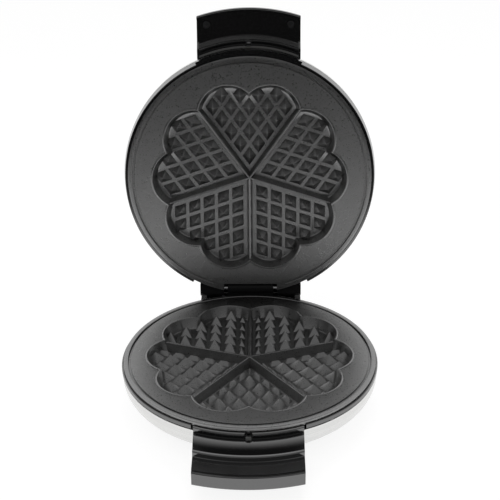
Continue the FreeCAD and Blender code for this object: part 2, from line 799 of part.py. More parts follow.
def make_lower_handle():
    level = mm.plate_level
    skin = mm.handle_skin
    rim_top = level - mm.lower_rim_drop
    inner = mm.shell_radius + mm.slack
    ramp_foot = level - mm.ridge_drop
    shelf = level - mm.lower_shelf_drop
    shelf_end = shelf - mm.lower_shelf_fall
    ridge_end = mm.ridge_radius + mm.ridge_width
    lip_inner = mm.lower_tip_radius - mm.lower_lip
    underside = [
        (lip_inner, shelf_end - skin),
        (mm.ridge_radius + skin / 2, shelf - skin),
        (mm.ridge_radius - skin / 2, ramp_foot - skin),
        (inner + skin, level - mm.ramp_drop - skin),
        (inner, level - mm.ramp_drop - skin),
    ]
    liner = new_body("lower_handle_liner", base_pieces)
    top_side = [
        (inner, bezel_bottom),
        (mm.bezel_front_inner + mm.slack, bezel_bottom),
        (mm.bezel_front_inner + mm.slack, bezel_bottom + mm.bezel_ledge),
        (mm.lower_plate_radius + mm.slack, bezel_bottom + mm.bezel_ledge),
        (mm.lower_plate_radius + mm.slack, rim_top),
        (mm.lower_rim_radius - mm.bezel_edge, rim_top),
        (mm.lower_rim_radius, rim_top - mm.bezel_edge),
        (mm.lower_rim_radius, bezel_bottom),
        (inner + mm.bezel_edge, bezel_bottom - mm.bezel_edge),
        (inner + mm.bezel_edge, level - mm.ramp_drop),
        (mm.ridge_radius, ramp_foot, mm.ramp_radius),
        (mm.ridge_radius + mm.ridge_width * 0.4, ramp_foot + mm.ridge_rise),
        (ridge_end, ramp_foot - mm.ridge_rise, -mm.ridge_width),
        (ridge_end, shelf),
        (lip_inner, shelf_end),
    ]
    sweep = sweep_across(mm.lower_handle_half * 1.1, inner)
    turn(liner, draw_outline(new_sketch(liner, "YZ_Plane"), at_front(top_side + underside)), sweep=sweep)
    trim_sides(liner, mm.lower_handle_half)
    socket = draw_circle(new_sketch(liner, "XY_Plane", lift=bezel_bottom - mm.bezel_edge), 0,
                         -mm.locator_circle, mm.locator_radius)
    extrude(liner, socket, mm.locator_radius * 2, adds=False)
    bottom = level - mm.lower_underside_drop
    posts = new_sketch(liner, "XY_Plane", lift=bottom + skin + mm.fit_gap)
    holes = new_sketch(liner, "XY_Plane", lift=bottom + skin + mm.fit_gap)
    for place in lower_handle_screw_places():
        draw_circle(posts, place.x, place.y, mm.post_radius)
        draw_circle(holes, place.x, place.y, mm.screw_shank)
    extrude(liner, posts, shelf - bottom - skin * 1.5)
    extrude(liner, holes, mm.screw_length, adds=False, back=True)

    cover = new_body("lower_handle_cover", base_pieces)
    gap = mm.fit_gap
    heel = level - mm.lower_heel_drop
    tip = mm.lower_tip_radius
    soft = mm.lower_lip_round
    seat = [(lip_inner + gap, shelf_end + gap)]
    seat += [(radius, height - gap) for radius, height in underside]
    seat[1] = (lip_inner + gap, shelf_end - skin - gap)
    outside = [
        (inner, level - mm.lower_shelf_drop),
        (mm.lower_heel_radius, heel),
        (mm.lower_heel_radius, bottom),
        (tip - soft, bottom),
        (tip, bottom + soft, soft),
        (tip - mm.bezel_edge, shelf_end - soft / 2),
        (tip - soft * 0.7, shelf_end + gap, soft),
    ]
    turn(cover, draw_outline(new_sketch(cover, "YZ_Plane"), at_front(seat + outside)), sweep=sweep)
    trim_sides(cover, mm.lower_handle_half)
    hollow = at_front([
        (inner + 2 * skin, bottom + skin),
        (lip_inner, bottom + skin),
        (lip_inner, shelf - skin * 0.5),
        (mm.ridge_radius, shelf - skin * 0.5),
        (inner + 2 * skin, level - mm.ramp_drop),
    ])
    turn(cover, draw_outline(new_sketch(cover, "YZ_Plane"), hollow), adds=False, sweep=mm.handle_hollow_sweep)
    holes = new_sketch(cover, "XY_Plane")
    for place in lower_handle_screw_places():
        draw_circle(holes, place.x, place.y, mm.screw_shank + mm.slack)
    extrude(cover, holes, bottom + skin * 2, adds=False, back=True)


# Upper handle and console

def make_upper_handle():
    level = lid_level
    skin = mm.handle_skin
    gap = mm.fit_gap
    panel = level + mm.panel_rise
    ledge = level + mm.ledge_rise
    shelf = level + mm.upper_shelf_rise
    shelf_end = shelf + mm.upper_shelf_climb
    ledge_end = mm.ledge_radius + mm.ledge_width
    lip_inner = mm.upper_tip_radius - mm.upper_lip
    inner = mm.dome_radius + mm.slack
    top_side = [
        (lip_inner, shelf_end + skin),
        (ledge_end + skin / 2, shelf + skin),
        (mm.ledge_radius, ledge + skin),
        (mm.panel_start, panel + skin),
    ]
    liner = new_body("upper_handle_liner", lid_pieces)
    under_side = [
        (mm.panel_start, panel),
        (mm.ledge_radius, ledge, -mm.ramp_radius),
        (mm.ledge_radius + mm.ledge_width * 0.4, ledge - mm.ridge_rise),
        (ledge_end, ledge + mm.ridge_rise, mm.ledge_width),
        (ledge_end, shelf),
        (lip_inner, shelf_end),
    ]
    sweep = sweep_across(mm.upper_handle_half * 1.1, mm.panel_start)
    turn(liner, draw_outline(new_sketch(liner, "YZ_Plane"), at_front(under_side + top_side)), sweep=sweep)
    trim_sides(liner, mm.upper_liner_half)
    nub = draw_circle(new_sketch(liner, "XY_Plane", lift=panel - mm.nub_drop), 0,
                      -mm.nub_circle, mm.nub_radius)
    extrude(liner, nub, mm.nub_drop + skin / 2)
    wells = new_sketch(liner, "XY_Plane", lift=shelf)
    for side in (-1, 1):
        draw_circle(wells, mm.handle_screw_half * side, -mm.handle_screw_circle, mm.handle_screw_well)
    extrude(liner, wells, skin * 2, adds=False, back=True)

    cover = new_body("upper_handle_cover", lid_pieces)
    tip = mm.upper_tip_radius
    soft = mm.lower_lip_round
    back = mm.console_back_radius
    top = level + mm.console_height
    turn_radius = mm.dome_radius - mm.dome_corner
    dome_gap = mm.dome_corner + gap
    seat = [(lip_inner + gap, shelf_end - mm.upper_lip_drop)]
    seat += [(radius, height + gap) for radius, height in top_side[:3]]
    seat[1] = (lip_inner + gap, shelf_end + skin + gap)
    seat += [
        (mm.panel_start, panel + skin + gap),
        (inner, panel + skin + gap),
        (inner, dome_turn),
        (turn_radius, dome_turn + dome_gap + mm.slack, mm.dome_corner + mm.slack),
        (back, dome_shoulder + mm.dome_crown * 0.5),
    ]
    outside = [
        (back, top - mm.console_edge),
        (back + mm.console_edge, top, -mm.console_edge),
        (mm.dial_circle + mm.dial_radius, top - mm.console_edge),
        (mm.console_front_radius, level + mm.console_front_height),
        (mm.upper_shoulder_radius, level + mm.upper_shoulder_height),
        (tip, level + mm.upper_front_height, -mm.console_edge * 4),
        (tip, shelf_end + soft),
        (tip - soft * 0.7, shelf_end - mm.upper_lip_drop, -soft),
    ]
    turn(cover, draw_outline(new_sketch(cover, "YZ_Plane"), at_front(seat + outside)), sweep=sweep)
    trim_sides(cover, mm.upper_handle_half)
    hollow = at_front([
        (inner + skin, shelf + skin),
        (lip_inner - skin, shelf_end + skin),
        (lip_inner - skin, level + mm.upper_front_height),
        (mm.console_front_radius, level + mm.console_front_height - skin),
        (inner + skin, level + mm.console_front_height - skin),
    ])
    turn(cover, draw_outline(new_sketch(cover, "YZ_Plane"), hollow), adds=False, sweep=mm.handle_hollow_sweep)
    well = draw_circle(new_sketch(cover, "XY_Plane", lift=top - mm.dial_well_depth), 0,
                       -mm.dial_circle, mm.dial_well)
    extrude(cover, well, mm.console_edge * 4, adds=False, back=True)
    holes = draw_circle(new_sketch(cover, "XY_Plane"), 0, -mm.dial_circle, mm.shaft_radius + mm.slack)
    for side in (-1, 1):
        draw_circle(holes, mm.lamp_half * side, -mm.dial_circle, mm.lamp_radius)
    extrude(cover, holes, adds=False, both=True)
    screw_holes = new_sketch(cover, "XY_Plane", lift=shelf)
    for side in (-1, 1):
        draw_circle(screw_holes, mm.handle_screw_half * side, -mm.handle_screw_circle, mm.screw_shank)
    extrude(cover, screw_holes, mm.screw_length + mm.handle_screw_sink, adds=False, back=True)


# Hinge

def make_hinge_housing():
    body = new_body("hinge_housing", base_pieces)
    half = mm.housing_half
    wall = mm.housing_wall
    block = draw_box(new_sketch(body, "XY_Plane", lift=mm.housing_bottom), -half, half,
                     mm.housing_front, mm.housing_back)
    extrude(body, block, mm.housing_top - mm.housing_bottom)
    back = mm.housing_back.value
    round_edges(body, mm.housing_corner, lambda middle, edge: middle.y > back - 1
                and abs(middle.z - (mm.housing_top.value + mm.housing_bottom.value) / 2) < 1)
    hollow = draw_box(new_sketch(body, "XY_Plane", lift=mm.housing_bottom), wall - half, half - wall,
                      mm.housing_front + wall, mm.housing_back - wall)
    extrude(body, hollow, mm.housing_top - mm.housing_bottom - wall, adds=False, back=True)
    stop = draw_box(new_sketch(body, "XY_Plane", lift=mm.housing_top - wall / 2), mm.housing_corner - half,
                    half - mm.housing_corner, mm.housing_back - mm.stop_depth - wall, mm.housing_back - wall)
    extrude(body, stop, mm.stop_height + wall / 2)
    web = draw_box(new_sketch(body, "YZ_Plane"), mm.knuckle_front, mm.knuckle_back,
                   mm.housing_top - wall / 2, hinge_level)
    extrude(body, web, mm.knuckle_half * 2, both=True)
    eye = draw_circle(new_sketch(body, "YZ_Plane"), mm.hinge_back, hinge_level, mm.eye_radius)
    extrude(body, eye, mm.knuckle_half * 2, both=True)
    bore = draw_circle(new_sketch(body, "YZ_Plane"), mm.hinge_back, hinge_level, mm.pin_radius)
    extrude(body, bore, adds=False, both=True)
    inlet = draw_circle(new_sketch(body, "XZ_Plane", lift=-mm.housing_back), 0, mm.gland_level, mm.gland_radius)
    extrude(body, inlet, wall * 2, adds=False, back=True)


def make_hinge_pin():
    pin = doc.addObject("Part::Cylinder", "hinge_pin")
    pin.Label = "hinge_pin"
    pin.setExpression("Radius", "sizes.pin_radius")
    pin.setExpression("Height", "2 * sizes.pin_half")
    start = Vector(-mm.pin_half.value, mm.hinge_back.value, hinge_level.value)
    pin.Placement = Placement(start, Rotation(Vector(0, 1, 0), 90))
    base_pieces.append(pin)


def make_hinge_bushes():
    """Two plain sleeves, one in each ear, running on the pin."""
    length = mm.ear_outer.value - mm.ear_inner.value
    bore = mm.pin_radius.value + mm.pin_clearance.value
    sleeves = []
    for start in (mm.ear_inner.value, -mm.ear_outer.value):
        foot = Vector(start, mm.hinge_back.value, hinge_level.value)
        outer = Part.makeCylinder(mm.bush_radius.value, length, foot, Vector(1, 0, 0))
        sleeves.append(outer.cut(Part.makeCylinder(bore, length, foot, Vector(1, 0, 0))))
    plain_piece("hinge_bushes", lid_pieces, Part.makeCompound(sleeves))


def make_lid_hinge_bracket():
    body = new_body("lid_hinge_bracket", lid_pieces)
    ledge_clear = lid_bezel_bottom + mm.bezel_ledge + mm.slack
    rim_back = lid_level + mm.tab_thickness + mm.fit_gap
    bridge_low = hinge_level + mm.bracket_bridge
    back = mm.bracket_back
    rear_side = [
        (back, bridge_low),
        (back, dome_turn),
        (mm.ear_front, mm.bracket_top, mm.dome_corner),
        (mm.bracket_front, mm.bracket_top),
    ]
    bridge = [(mm.bracket_front, bridge_low)] + rear_side
    extrude(body, draw_outline(new_sketch(body, "YZ_Plane"), bridge), mm.ear_outer * 2, both=True)
    ear = [
        (mm.bracket_front, ledge_clear),
        (mm.ear_front, ledge_clear),
        (mm.ear_front, rim_back),
        (mm.hinge_back + mm.eye_radius, rim_back),
        (back, hinge_level),
        (back, bridge_low + 1),
        (mm.bracket_front, bridge_low + 1),
    ]
    length = mm.ear_outer - mm.ear_inner
    for side in (1, -1):
        plane_lift = mm.ear_inner if side > 0 else -mm.ear_outer
        extrude(body, draw_outline(new_sketch(body, "YZ_Plane", lift=plane_lift), ear), length)
    bore = draw_circle(new_sketch(body, "YZ_Plane"), mm.hinge_back, hinge_level, mm.bush_radius)
    extrude(body, bore, adds=False, both=True)


# Bottom of the base

def make_bottom_cover():
    low = mm.bottom_level
    wall = mm.bottom_wall
    seat = shell_bottom + mm.sheet_steel + mm.fit_gap
    waist = mm.shell_opening - mm.slack
    body = turned_piece("bottom_cover", base_pieces, [
        (0, low),
        (mm.bottom_radius - wall, low),
        (mm.bottom_radius, low + wall, wall * 1.01),
        (waist, seat),
        (mm.bottom_flange, seat),
        (mm.bottom_flange, seat + wall),
        (waist - wall, seat + wall),
        (mm.bottom_radius - wall, low + wall),
        (0, low + wall),
    ])
    sketch = new_sketch(body, "XY_Plane")
    half = mm.vent_width / 2
    draw_box(sketch, mm.vent_circle - mm.vent_length / 2, mm.vent_circle + mm.vent_length / 2, -half, half)
    slot = extrude(body, sketch, low + wall * 2, adds=False, back=True)
    repeat_round(body, slot, mm.vent_slots, Size(360, "360"))
    sockets = new_sketch(body, "XY_Plane")
    for side in (-1, 1):
        draw_circle(sockets, mm.front_foot_half * side, -mm.front_foot_forward, mm.foot_plug)
    for place in bottom_screw_places():
        draw_circle(sockets, place.x, place.y, mm.screw_shank + mm.slack)
    extrude(body, sockets, low + wall * 2, adds=False, back=True)


def make_housing_cover():
    body = new_body("hinge_housing_cover", base_pieces)
    inset = mm.housing_wall + mm.slack
    half = mm.housing_half - inset
    plate = draw_box(new_sketch(body, "XY_Plane", lift=mm.housing_bottom), -half, half,
                     mm.housing_front + inset, mm.housing_back - inset)
    extrude(body, plate, mm.bottom_wall)
    sockets = new_sketch(body, "XY_Plane")
    for side in (-1, 1):
        draw_circle(sockets, mm.rear_foot_half * side, mm.rear_foot_back, mm.foot_plug)
    for place in housing_screw_places():
        draw_circle(sockets, place.x, place.y, mm.screw_shank + mm.slack)
    extrude(body, sockets, mm.housing_bottom + mm.bottom_wall * 2, adds=False, back=True)


def feet(label, half, forward, level):
    """A left and a right rubber foot, each with a plug pressed into its socket."""
    solids = []
    for side in (-1, 1):
        place = Vector(half.value * side, forward.value, 0)
        edge = mm.foot_edge.value
        pad = Part.makeCylinder(mm.foot_radius.value, level.value, place)
        pad = pad.makeChamfer(edge, [item for item in pad.Edges if item.BoundBox.ZMax < edge / 2])
        plug_length = mm.bottom_wall.value + edge
        plug = Part.makeCylinder(mm.foot_plug.value, plug_length, place + Vector(0, 0, level.value))
        solids.append(pad.fuse(plug).removeSplitter())
    plain_piece(label, base_pieces, Part.makeCompound(solids))


# Heaters, shields and wiring pieces

def heater(label, pieces, level):
    """A tube bent to an open ring, with two straight tails that bend off it towards the back."""
    circle = mm.heater_circle.value
    bend = mm.heater_bend.value
    mouth = mm.heater_mouth.value
    lean = math.asin((mouth + bend) / (circle + bend))
    outward = Vector(math.sin(lean), math.cos(lean), 0)
    middle = outward * (circle + bend)
    half_way = (Vector(-1, 0, 0) - outward).normalize()
    right = [
        Vector(mouth, mm.heater_tail.value, 0),
        Vector(mouth, middle.y, 0),
        middle + half_way * bend,
        outward * circle,
    ]
    lift = Vector(0, 0, level)
    left = [Vector(-point.x, point.y, 0) + lift for point in right]
    right = [point + lift for point in right]
    path = Part.Wire([
        Part.LineSegment(right[0], right[1]).toShape(),
        Part.Arc(right[1], right[2], right[3]).toShape(),
        Part.Arc(right[3], Vector(0, -circle, level), left[3]).toShape(),
        Part.Arc(left[3], left[2], left[1]).toShape(),
        Part.LineSegment(left[1], left[0]).toShape(),
    ])
    section = Part.Wire([Part.Circle(right[0], Vector(0, 1, 0), mm.heater_radius.value).toShape()])
    plain_piece(label, pieces, path.makePipeShell([section], True, False))


def make_heaters():
    below = pan_bottom - mm.heater_radius - mm.fit_gap
    above = pan_top + mm.heater_radius + mm.fit_gap
    heater("lower_heater", base_pieces, below.value)
    heater("upper_heater", lid_pieces, above.value)


def make_heat_shields():
    sheet_metal = mm.shield_sheet
    rim = mm.shield_radius
    low = mm.plate_level - mm.shield_drop
    turned_piece("lower_heat_shield", base_pieces, [
        (0, low), (rim, low), (rim, low + mm.shield_rim), (rim - sheet_metal, low + mm.shield_rim),
        (rim - sheet_metal, low + sheet_metal), (0, low + sheet_metal),
    ])
    high = lid_level + mm.shield_drop
    small = rim - mm.thermostat_width
    turned_piece("upper_heat_shield", lid_pieces, [
        (0, high), (small, high), (small, high - mm.shield_rim), (small - sheet_metal, high - mm.shield_rim),
        (small - sheet_metal, high - sheet_metal), (0, high - sheet_metal),
    ])


def centred_box(label, pieces, length, width, height, place):
    """A box standing on a place, centred on it from left to right and from front to back."""
    box = doc.addObject("Part::Box", label)
    box.Label = label
    for name, size in (("Length", length), ("Width", width), ("Height", height)):
        box.setExpression(name, size.text)
    box.Placement = Placement(place - Vector(length.value / 2, width.value / 2, 0), Rotation())
    pieces.append(box)


def make_wiring_pieces():
    floor = mm.bottom_level + mm.bottom_wall + mm.fit_gap
    centred_box("terminal_block", base_pieces, mm.terminal_length, mm.terminal_width, mm.terminal_height,
                Vector(0, mm.terminal_back.value, floor.value))
    fuse = doc.addObject("Part::Cylinder", "thermal_fuse")
    fuse.Label = "thermal_fuse"
    fuse.setExpression("Radius", "sizes.fuse_radius")
    fuse.setExpression("Height", "sizes.fuse_length")
    level = pan_bottom - mm.fuse_radius - mm.fit_gap
    fuse.Placement = Placement(Vector(-mm.fuse_length.value / 2, 0, level.value), Rotation(Vector(0, 1, 0), 90))
    base_pieces.append(fuse)


# Controls on the lid

dial_pieces = []


def make_dial():
    body = new_body("control_dial", dial_pieces)
    top = lid_level + mm.console_height
    low = top - mm.dial_well_depth + mm.slack
    edge = mm.bezel_edge * 2
    radius = mm.dial_radius
    sketch = new_sketch(body, "XY_Plane", lift=low)
    extrude(body, draw_circle(sketch, 0, 0, radius), mm.dial_height)
    high = (low + mm.dial_height).value
    round_edges(body, edge, lambda middle, item: abs(middle.z - high) < 0.01)
    grip = draw_circle(new_sketch(body, "XY_Plane", lift=low), radius, 0, mm.dial_grip_radius)
    slot = extrude(body, grip, mm.dial_height - edge * 2, adds=False, back=True)
    repeat_round(body, slot, mm.dial_grip_slots, Size(360, "360"))
    half = mm.dial_mark_width / 2
    mark = draw_box(new_sketch(body, "XY_Plane", lift=low + mm.dial_height - edge), -half, half,
                    -radius, -radius * 0.4)
    extrude(body, mark, edge * 2, adds=False, back=True)
    bore = draw_circle(new_sketch(body, "XY_Plane", lift=low), 0, 0, mm.shaft_radius)
    extrude(body, bore, mm.dial_height / 2, adds=False, back=True)

    shaft = doc.addObject("Part::Cylinder", "dial_shaft")
    shaft.Label = "dial_shaft"
    shaft.setExpression("Radius", "sizes.shaft_radius")
    shaft.setExpression("Height", "sizes.shaft_length")
    top_end = low + mm.dial_height / 2
    shaft.Placement = Placement(Vector(0, 0, top_end.value - mm.shaft_length.value), Rotation())
    dial_pieces.append(shaft)
    return top_end - mm.shaft_length


def make_controls():
    shaft_foot = make_dial()
    low = shaft_foot - mm.fit_gap - mm.thermostat_height
    centred_box("thermostat", lid_pieces, mm.thermostat_length, mm.thermostat_width, mm.thermostat_height,
                Vector(0, mm.thermostat_width.value / 4 - mm.dial_circle.value, low.value))
    top = lid_level + mm.console_height
    for label, side in (("ready_lamp", -1), ("power_lamp", 1)):
        lens = doc.addObject("Part::Cylinder", label)
        lens.Label = label
        lens.setExpression("Radius", "sizes.lamp_radius - sizes.fit_gap")
        lens.setExpression("Height", "sizes.lamp_height")
        place = Vector(mm.lamp_half.value * side, -mm.dial_circle.value, (top - mm.lamp_height).value)
        lens.Placement = Placement(place, Rotation())
        lid_pieces.append(lens)


# Screws and cord gland

def bottom_screw_places():
    """Four places on a circle, each half way between two vent slots."""
    half_step = math.pi / mm.vent_slots.value
    angles = [side + sign * half_step for side in (0, math.pi) for sign in (-1, 1)]
    circle = mm.bottom_screw_circle.value
    return [Vector(math.cos(angle), math.sin(angle), 0) * circle for angle in angles]


def lower_handle_screw_places():
    half, circle = mm.lower_handle_screw_half.value, mm.lower_handle_screw_circle.value
    return [Vector(side * half, -circle, 0) for side in (-1, 1)]


def housing_screw_places():
    half = mm.rear_foot_half.value * 0.4
    return [Vector(side * half, mm.rear_foot_back.value, 0) for side in (-1, 1)]


def screws(label, pieces, places, level, direction, head=mm.screw_head, length=mm.screw_length):
    """Cross-head screws: the head's outer face at the level, the shank along the direction."""
    along = Vector(0, 0, direction)
    head = head.value
    tall = mm.screw_head_height.value
    slot = mm.screw_slot.value
    solids = []
    for place in places:
        foot = Vector(place.x, place.y, level.value)
        screw = Part.makeCylinder(head, tall, foot, along)
        screw = screw.fuse(Part.makeCylinder(mm.screw_shank.value, length.value, foot, along))
        for long, wide in ((head, slot), (slot, head)):
            recess = Part.makeBox(long, wide, slot * 2)
            recess.translate(foot - Vector(long / 2, wide / 2, slot))
            screw = screw.cut(recess)
        solids.append(screw.removeSplitter())
    plain_piece(label, pieces, Part.makeCompound(solids))


def make_screws():
    head = mm.screw_head_height
    gap = mm.fit_gap
    screws("bottom_screws", base_pieces, bottom_screw_places(), mm.bottom_level - head - gap, 1)
    screws("hinge_cover_screws", base_pieces, housing_screw_places(), mm.housing_bottom - head - gap, 1)
    shelf = lid_level + mm.upper_shelf_rise
    half, circle = mm.handle_screw_half.value, mm.handle_screw_circle.value
    wells = [Vector(side * half, -circle, 0) for side in (-1, 1)]
    screws("upper_handle_screws", lid_pieces, wells, shelf + mm.handle_screw_sink, 1)
    underside = mm.plate_level - mm.lower_underside_drop
    screws("lower_handle_screws", base_pieces, lower_handle_screw_places(), underside - head - gap, 1)
    reach = head + mm.post_hole
    screws("lower_plate_screws", base_pieces, post_places(), bezel_bottom - head - gap, 1,
           mm.washer_head, reach)
    lid_seat = lid_bezel_bottom + mm.bezel_ledge
    screws("upper_plate_screws", lid_pieces, post_places(), lid_seat + head + gap, -1,
           mm.washer_head, reach)


def make_cord_gland():
    body = new_body("cord_gland", base_pieces)
    wall = mm.housing_wall
    face = mm.housing_back
    bore, outer, flange = mm.gland_bore, mm.gland_radius - mm.fit_gap, mm.gland_flange
    sketch = new_sketch(body, "YZ_Plane")
    level = mm.gland_level
    draw_outline(sketch, [
        (face - wall * 2, level + bore),
        (face + mm.gland_stand, level + bore),
        (face + mm.gland_stand, level + outer),
        (face + wall, level + flange),
        (face + mm.fit_gap, level + flange),
        (face + mm.fit_gap, level + outer),
        (face - wall * 2, level + outer),
    ])
    feature = body.newObject("PartDesign::Revolution", "cord_gland_turn")
    axis = sketch.addGeometry(Part.LineSegment(Vector(0, level.value, 0), Vector(10, level.value, 0)), True)
    sketch.addConstraint(Sketcher.Constraint("Horizontal", axis))
    pin_to_sheet(sketch, axis, 1, as_size(0), level)
    feature.Profile = sketch
    feature.ReferenceAxis = (sketch, ["Axis0"])
    feature.Angle = 360
    checked(feature, True)


make_lower_plate()
make_upper_plate()
make_base_shell()
make_lid_shell()
make_base_bezel()
make_lid_bezel()
make_lower_handle()
make_upper_handle()
make_hinge_housing()
make_hinge_pin()
make_hinge_bushes()
make_lid_hinge_bracket()
make_bottom_cover()
make_housing_cover()
feet("front_feet", mm.front_foot_half, -mm.front_foot_forward, mm.bottom_level - mm.fit_gap)
feet("rear_feet", mm.rear_foot_half, mm.rear_foot_back, mm.housing_bottom - mm.fit_gap)
make_heaters()
make_heat_shields()
make_wiring_pieces()
make_controls()
make_screws()
make_cord_gland()
doc.recompute()

# Swing the lid open about the hinge, then set every piece about the origin
shift = Placement(Vector(0, -mm.origin_forward.value, 0), Rotation())
hinge = Vector(0, mm.hinge_back.value, hinge_level.value)
swing = Placement(Vector(), Rotation(Vector(1, 0, 0), -mm.open_angle.value), hinge)
dial_seat = Placement(Vector(0, -mm.dial_circle.value, 0), Rotation())
poses = ((base_pieces, shift), (lid_pieces, shift * swing), (dial_pieces, shift * swing * dial_seat))
for pieces, pose in poses:
    for piece in pieces:
        piece.Placement = pose * piece.Placement
doc.recompute()

for item in doc.Objects:
    if "Invalid" in item.State or "Error" in item.State:
        raise RuntimeError(f"{item.Label} failed: {item.State}")

all_pieces = base_pieces + lid_pieces + dial_pieces
for piece in all_pieces:
    if piece.Shape.isNull() or not piece.Shape.isValid():
        raise RuntimeError(f"{piece.Label} has no valid shape")

os.makedirs("parts", exist_ok=True)
for piece in all_pieces:
    piece.Shape.exportStep(f"parts/{piece.Label}.step")
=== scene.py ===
import bmesh
import bpy
import json
import math
from bpy.props import FloatProperty, FloatVectorProperty, IntProperty, PointerProperty
from mathutils import Matrix, Vector


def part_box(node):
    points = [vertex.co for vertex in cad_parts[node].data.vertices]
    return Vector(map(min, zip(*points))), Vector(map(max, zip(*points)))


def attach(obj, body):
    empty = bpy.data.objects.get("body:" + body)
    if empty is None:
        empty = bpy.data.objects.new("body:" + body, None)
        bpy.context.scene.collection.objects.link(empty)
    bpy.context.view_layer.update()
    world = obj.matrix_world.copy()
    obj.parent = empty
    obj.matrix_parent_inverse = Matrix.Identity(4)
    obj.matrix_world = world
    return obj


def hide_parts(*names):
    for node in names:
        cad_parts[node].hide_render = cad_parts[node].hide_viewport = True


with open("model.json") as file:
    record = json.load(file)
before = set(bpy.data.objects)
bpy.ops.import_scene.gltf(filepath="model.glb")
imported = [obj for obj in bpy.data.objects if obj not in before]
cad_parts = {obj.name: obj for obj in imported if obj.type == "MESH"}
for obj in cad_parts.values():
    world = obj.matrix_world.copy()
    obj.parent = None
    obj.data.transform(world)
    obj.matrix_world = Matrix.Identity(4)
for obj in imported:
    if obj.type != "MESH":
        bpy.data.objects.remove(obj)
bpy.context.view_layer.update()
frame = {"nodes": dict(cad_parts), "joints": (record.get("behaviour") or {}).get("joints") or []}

bl_info = {
    "name": "Heart waffle maker",
    "version": (1, 0, 0),
    "blender": (4, 5, 0),
    "location": "View3D > Sidebar > Waffle maker",
    "description": "Baking plates, inner sides of the handles, finishes and stage of a waffle maker",
    "category": "Object",
}

# Places read from the frame: the box of the solids, the middle of the plates, and the hinge
MM = 0.001
LOWER_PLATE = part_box("lower_plate")
UPPER_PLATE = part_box("upper_plate")
LOWER_RADIUS = LOWER_PLATE[1].x
UPPER_RADIUS = UPPER_PLATE[1].x
MIDDLE = Vector((0, LOWER_PLATE[0].y + LOWER_RADIUS, 0))
LID_JOINT = next(joint for joint in frame["joints"] if joint["name"] == "lid_hinge")
HINGE = Vector(LID_JOINT["pos_m"])
OPENING = math.radians(LID_JOINT["range_deg"][1])

BASE_PLACE = Matrix.Translation(MIDDLE)
SWING = Matrix.Translation(HINGE) @ Matrix.Rotation(-OPENING, 4, "X") @ Matrix.Translation(-HINGE)
LID_PLACE = SWING @ BASE_PLACE
PLACES = {"base": BASE_PLACE, "lid": LID_PLACE}

# Counts of points on round shapes
FULL_TURN = 2 * math.pi
LOBE_POINTS = 120
PLATE_STEPS = 192
HANDLE_STEPS = 64
RAMP_STEPS = 12
ROUND_STEPS = 32
FLOOR_SIDES = 96

# Distances that count as none
CLOSE = MM / 10
MERGE = MM / 100
CUT = MM / 10000

# Angles up to which the plates and the handles look smooth, in degrees
PLATE_SMOOTH = 35
HANDLE_SMOOTH = 25


def length(name, description, default):
    return FloatProperty(name=name, description=description, default=default * MM, unit="LENGTH", precision=4)


def angle(name, description, default):
    return FloatProperty(name=name, description=description, default=math.radians(default), unit="ROTATION")


def colour(name, description, default):
    return FloatVectorProperty(name=name, description=description, default=default, subtype="COLOR",
                               size=3, min=0, max=1)


def share(name, description, default):
    return FloatProperty(name=name, description=description, default=default, min=0, max=4, subtype="FACTOR")


def power(name, description, default):
    return FloatProperty(name=name, description=description, default=default, unit="POWER")


class PlateSizes(bpy.types.PropertyGroup):
    """Sizes of the two baking plates."""
    closing_gap: length("Closing gap", "Space between the two plates when the lid is shut", 2)
    rim_thickness: length("Rim thickness", "Thickness of the flat rim round the hearts", 4)
    rim_round: length("Rim rounding", "Rounding of the outer edge", 0.6)
    lower_groove: length("Lower groove", "Radius of the ring groove of the lower plate", 101.5)
    upper_groove: length("Upper groove", "Radius of the ring groove of the upper plate", 104.2)
    groove_width: length("Groove width", "Width of the ring groove", 1.7)
    groove_depth: length("Groove depth", "Depth of the ring groove", 1.6)
    hearts: IntProperty(name="Hearts", description="Number of hearts in the ring", default=5, min=3, max=8)
    lobe_reach: length("Lobe reach", "Distance from the middle to the outside of a lobe", 86.3)
    lobe_radius: length("Lobe radius", "Radius of one lobe of a heart", 26.55)
    cavity_depth: length("Cavity depth", "Depth of the hearts below the rim", 9.5)
    cavity_draft: length("Cavity draft", "How far the wall leans in from top to bottom", 3.2)
    bead_width: length("Bead width", "Width of the raised bead round the hearts", 2.2)
    bead_height: length("Bead height", "Height of the bead above the rim", 0.7)
    casting_wall: length("Casting wall", "Thickness of the pan under the hearts", 4)
    stud_rows: IntProperty(name="Stud rows", description="Rows of studs along one side of a heart", default=5,
                           min=2, max=8)
    stud_pitch: length("Stud pitch", "Distance between two rows of studs", 13.05)
    stud_width: length("Stud width", "Width of a stud at its foot", 10.1)
    stud_height: length("Stud height", "Height of a stud", 7.3)
    stud_tip: length("Stud tip", "Width of the small flat at the top of a stud", 0.5)
    stud_edge: length("Stud edge", "Rounding of the edges of a stud", 0.3)
    stud_margin: length("Stud margin", "Distance from the side of a heart to its first stud", 5.9)
    half_stud_from: length("Narrow stud start", "Distance from the side of a heart to a narrow stud", 4.6)
    divider_foot: length("Divider foot", "Width of the ridge between two hearts at its foot", 6)
    divider_crest: length("Divider crest", "Width of the ridge at its top", 1.4)
    divider_height: length("Divider height", "Height of the ridge", 8.2)
    divider_reach: length("Divider reach", "How far the ridge runs out from the middle", 78)
    notch_half: length("Notch half width", "Half the width of the notch for the hinge", 24.3)
    notch_from: length("Notch start", "Where the notch of the upper plate starts", 100.2)
    chord_from: length("Flat start", "Where the lower plate is cut flat for the hinge", 103.5)
    pad_half: length("Pad half width", "Half the width of the recessed pad at the hinge", 32.4)
    pad_from: length("Pad start", "Where the recessed pad starts", 92.4)
    pad_depth: length("Pad depth", "How deep the pad lies", 0.4)
    tab_half: length("Tab half width", "Half the width over the thin tabs at the hinge", 46.9)
    tab_thickness: length("Tab thickness", "Thickness of the plate at the hinge", 1.9)


